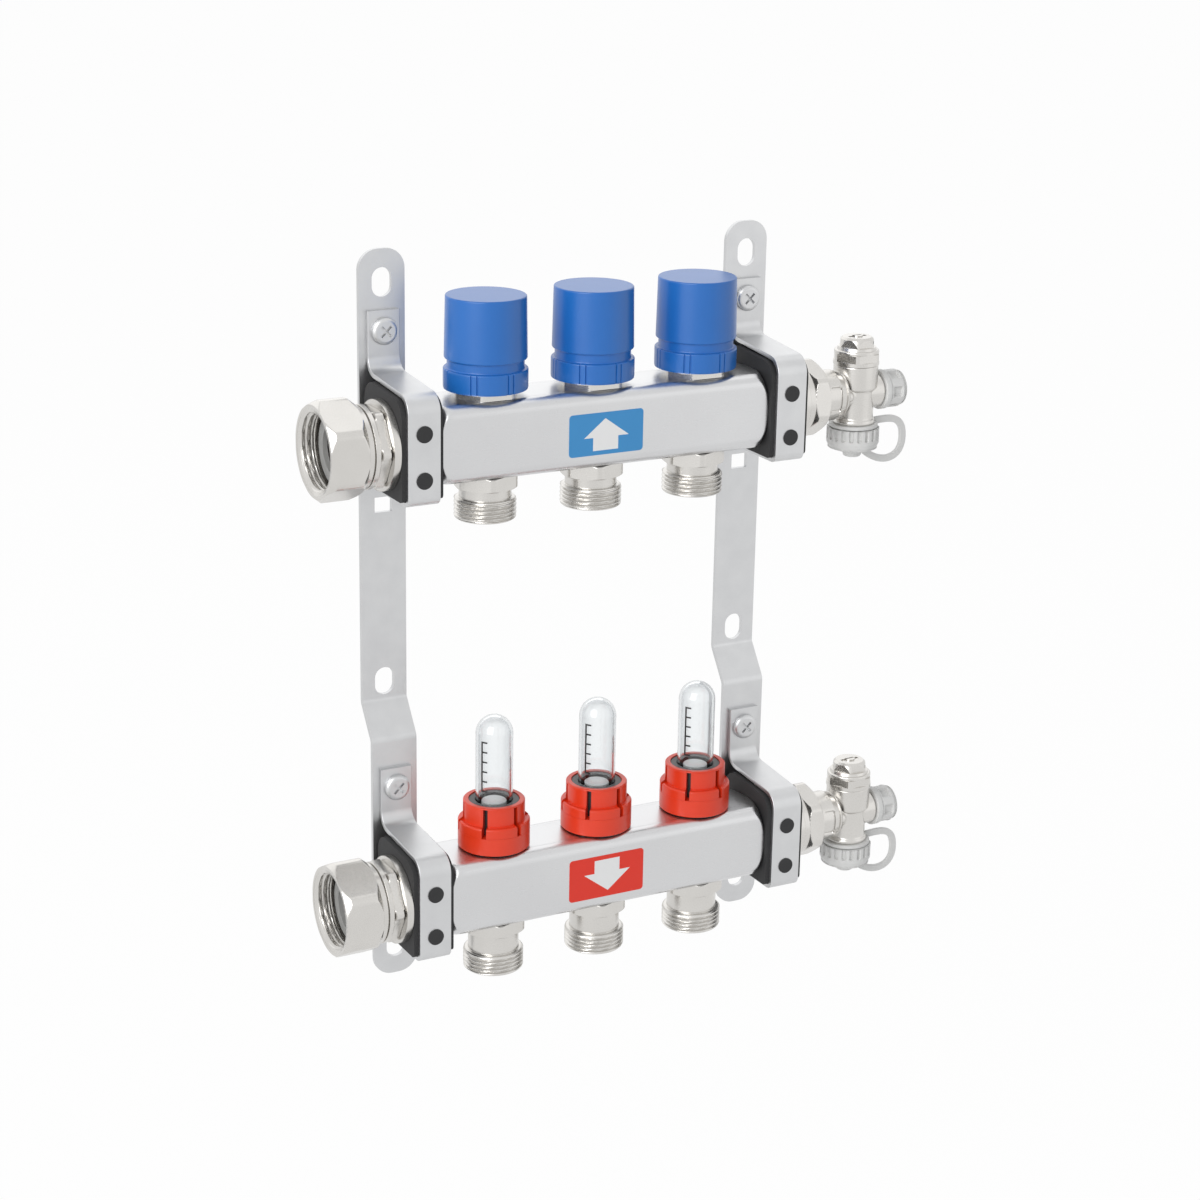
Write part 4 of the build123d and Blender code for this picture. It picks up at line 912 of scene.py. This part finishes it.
print("signs and arrows")

# %% [markdown]
# ## Camera, floor and light
#
# The camera stands where a camera fitted to the drawing's edges stands. Metal needs something large
# and bright to reflect, so soft boxes stand left, right, behind and above, and the world is pale grey.

# %% Set the camera
def pose_matrix(side, up, back, place):
    """A 4 x 4 matrix whose columns are three directions and a place."""
    matrix = np.eye(4)
    matrix[:3] = np.column_stack([side, up, back, place])
    return Matrix(matrix.tolist())


EYE = np.array([-0.432463, -0.994351, 0.298971])
yaw, pitch, roll = np.radians([28.410, 17.850, 1.070])
forward = np.array([np.sin(yaw) * np.cos(pitch), np.cos(yaw) * np.cos(pitch), -np.sin(pitch)])
right = np.array([np.cos(yaw), -np.sin(yaw), 0.0])
upwards = np.cross(right, forward)
rolled_right = right * np.cos(roll) + upwards * np.sin(roll)
rolled_up = upwards * np.cos(roll) - right * np.sin(roll)
camera = bpy.data.objects.new("camera", bpy.data.cameras.new("camera"))
bpy.context.scene.collection.objects.link(camera)
camera.matrix_world = pose_matrix(rolled_right, rolled_up, -forward, EYE)
camera.data.sensor_width = 36.0
camera.data.lens = 80.08
camera.data.clip_start = 0.05
bpy.context.scene.camera = camera
print("camera", [round(v, 3) for v in camera.location])

# %% [markdown]
# The background has to be white without more light on the metal. Light Path tells what kind of ray
# has met a surface: rays from the camera, from a mirror or through glass see white, and all others
# see the plain lit floor and a softer sky. A few hundredths of the floor stay lit paint, so it keeps
# a shadow. The floor's underside is clear, so the object can also be looked at from below.

# %% Lay the floor
def seen_directly(tree):
    """The output that is 1 for camera, glossy and transmission rays and 0 for the rest."""
    path = add(tree, "ShaderNodeLightPath")
    largest = path.outputs["Is Camera Ray"]
    for name in ("Is Glossy Ray", "Is Transmission Ray"):
        either = add(tree, "ShaderNodeMath", operation="MAXIMUM")
        tree.links.new(largest, either.inputs[0])
        tree.links.new(path.outputs[name], either.inputs[1])
        largest = either.outputs[0]
    return largest


def mixed(tree, share, first, second):
    """The output of a mix shader: the first where the share is 0, the second where it is 1."""
    mix = add(tree, "ShaderNodeMixShader")
    for source, target in zip((share, first, second), mix.inputs):
        tree.links.new(source, target)
    return mix.outputs[0]


paint = bpy.data.materials.new("pale floor")
paint.use_nodes = True
tree = paint.node_tree
lit_floor = tree.nodes["Principled BSDF"]
lit_floor.inputs["Base Color"].default_value = (0.86, 0.86, 0.86, 1)
lit_floor.inputs["Roughness"].default_value = 0.9
white = add(tree, "ShaderNodeEmission", values={"Color": (1, 1, 1, 1), "Strength": 1.0})
share = add(tree, "ShaderNodeMath", operation="MULTIPLY", values={1: 0.97})
tree.links.new(seen_directly(tree), share.inputs[0])
upper_side = mixed(tree, share.outputs[0], lit_floor.outputs[0], white.outputs[0])
underside = add(tree, "ShaderNodeNewGeometry").outputs["Backfacing"]
see_through = add(tree, "ShaderNodeBsdfTransparent").outputs[0]
surface = mixed(tree, underside, upper_side, see_through)
tree.links.new(surface, tree.nodes["Material Output"].inputs["Surface"])

FLOOR_HALF, FLOOR_LEVEL = 9, -0.42
floor_mesh = bpy.data.meshes.new("floor")
floor_mesh.from_pydata([(x * FLOOR_HALF, y * FLOOR_HALF, FLOOR_LEVEL)
                        for x, y in ((-1, -1), (1, -1), (1, 1), (-1, 1))], [], [(0, 1, 2, 3)])
floor_mesh.materials.append(paint)
floor = bpy.data.objects.new("floor", floor_mesh)
bpy.context.scene.collection.objects.link(floor)
print("floor laid")

# %% Light it
def soft_box(name, place, target, width, height, power):
    """A rectangular area lamp at a place, turned to face a target."""
    lamp = bpy.data.lights.new(name, "AREA")
    lamp.shape = "RECTANGLE"
    lamp.size = width
    lamp.size_y = height
    lamp.energy = power
    box = bpy.data.objects.new(name, lamp)
    bpy.context.scene.collection.objects.link(box)
    back = np.asarray(place, float) - np.asarray(target, float)
    back /= np.linalg.norm(back)
    side = np.cross([0, 0, 1], back)
    side /= np.linalg.norm(side)
    box.matrix_world = pose_matrix(side, np.cross(back, side), back, place)
    box.visible_camera = False


MIDDLE = (0.09, -0.03, -0.06)
soft_box("key", (-1.4, -0.95, 0.8), MIDDLE, 1.4, 1.7, 27)
soft_box("fill", (1.4, -1.3, 0.3), MIDDLE, 1.3, 1.5, 1.5)
soft_box("back", (0.2, 1.35, 0.85), MIDDLE, 2.2, 1.4, 4)
soft_box("top", (0.42, 0.16, 1.0), MIDDLE, 0.7, 0.6, 0.5)
world = bpy.data.worlds.new("studio")
bpy.context.scene.world = world
world.use_nodes = True
tree = world.node_tree
lit = tree.nodes["Background"]
lit.inputs["Color"].default_value = (0.95, 0.96, 0.97, 1)
lit.inputs["Strength"].default_value = 0.42
seen = add(tree, "ShaderNodeBackground", values={"Color": (1, 1, 1, 1), "Strength": 1.0})
surface = mixed(tree, seen_directly(tree), lit.outputs[0], seen.outputs[0])
tree.links.new(surface, tree.nodes["World Output"].inputs["Surface"])
bpy.context.scene.view_settings.view_transform = "Standard"
print("lit")
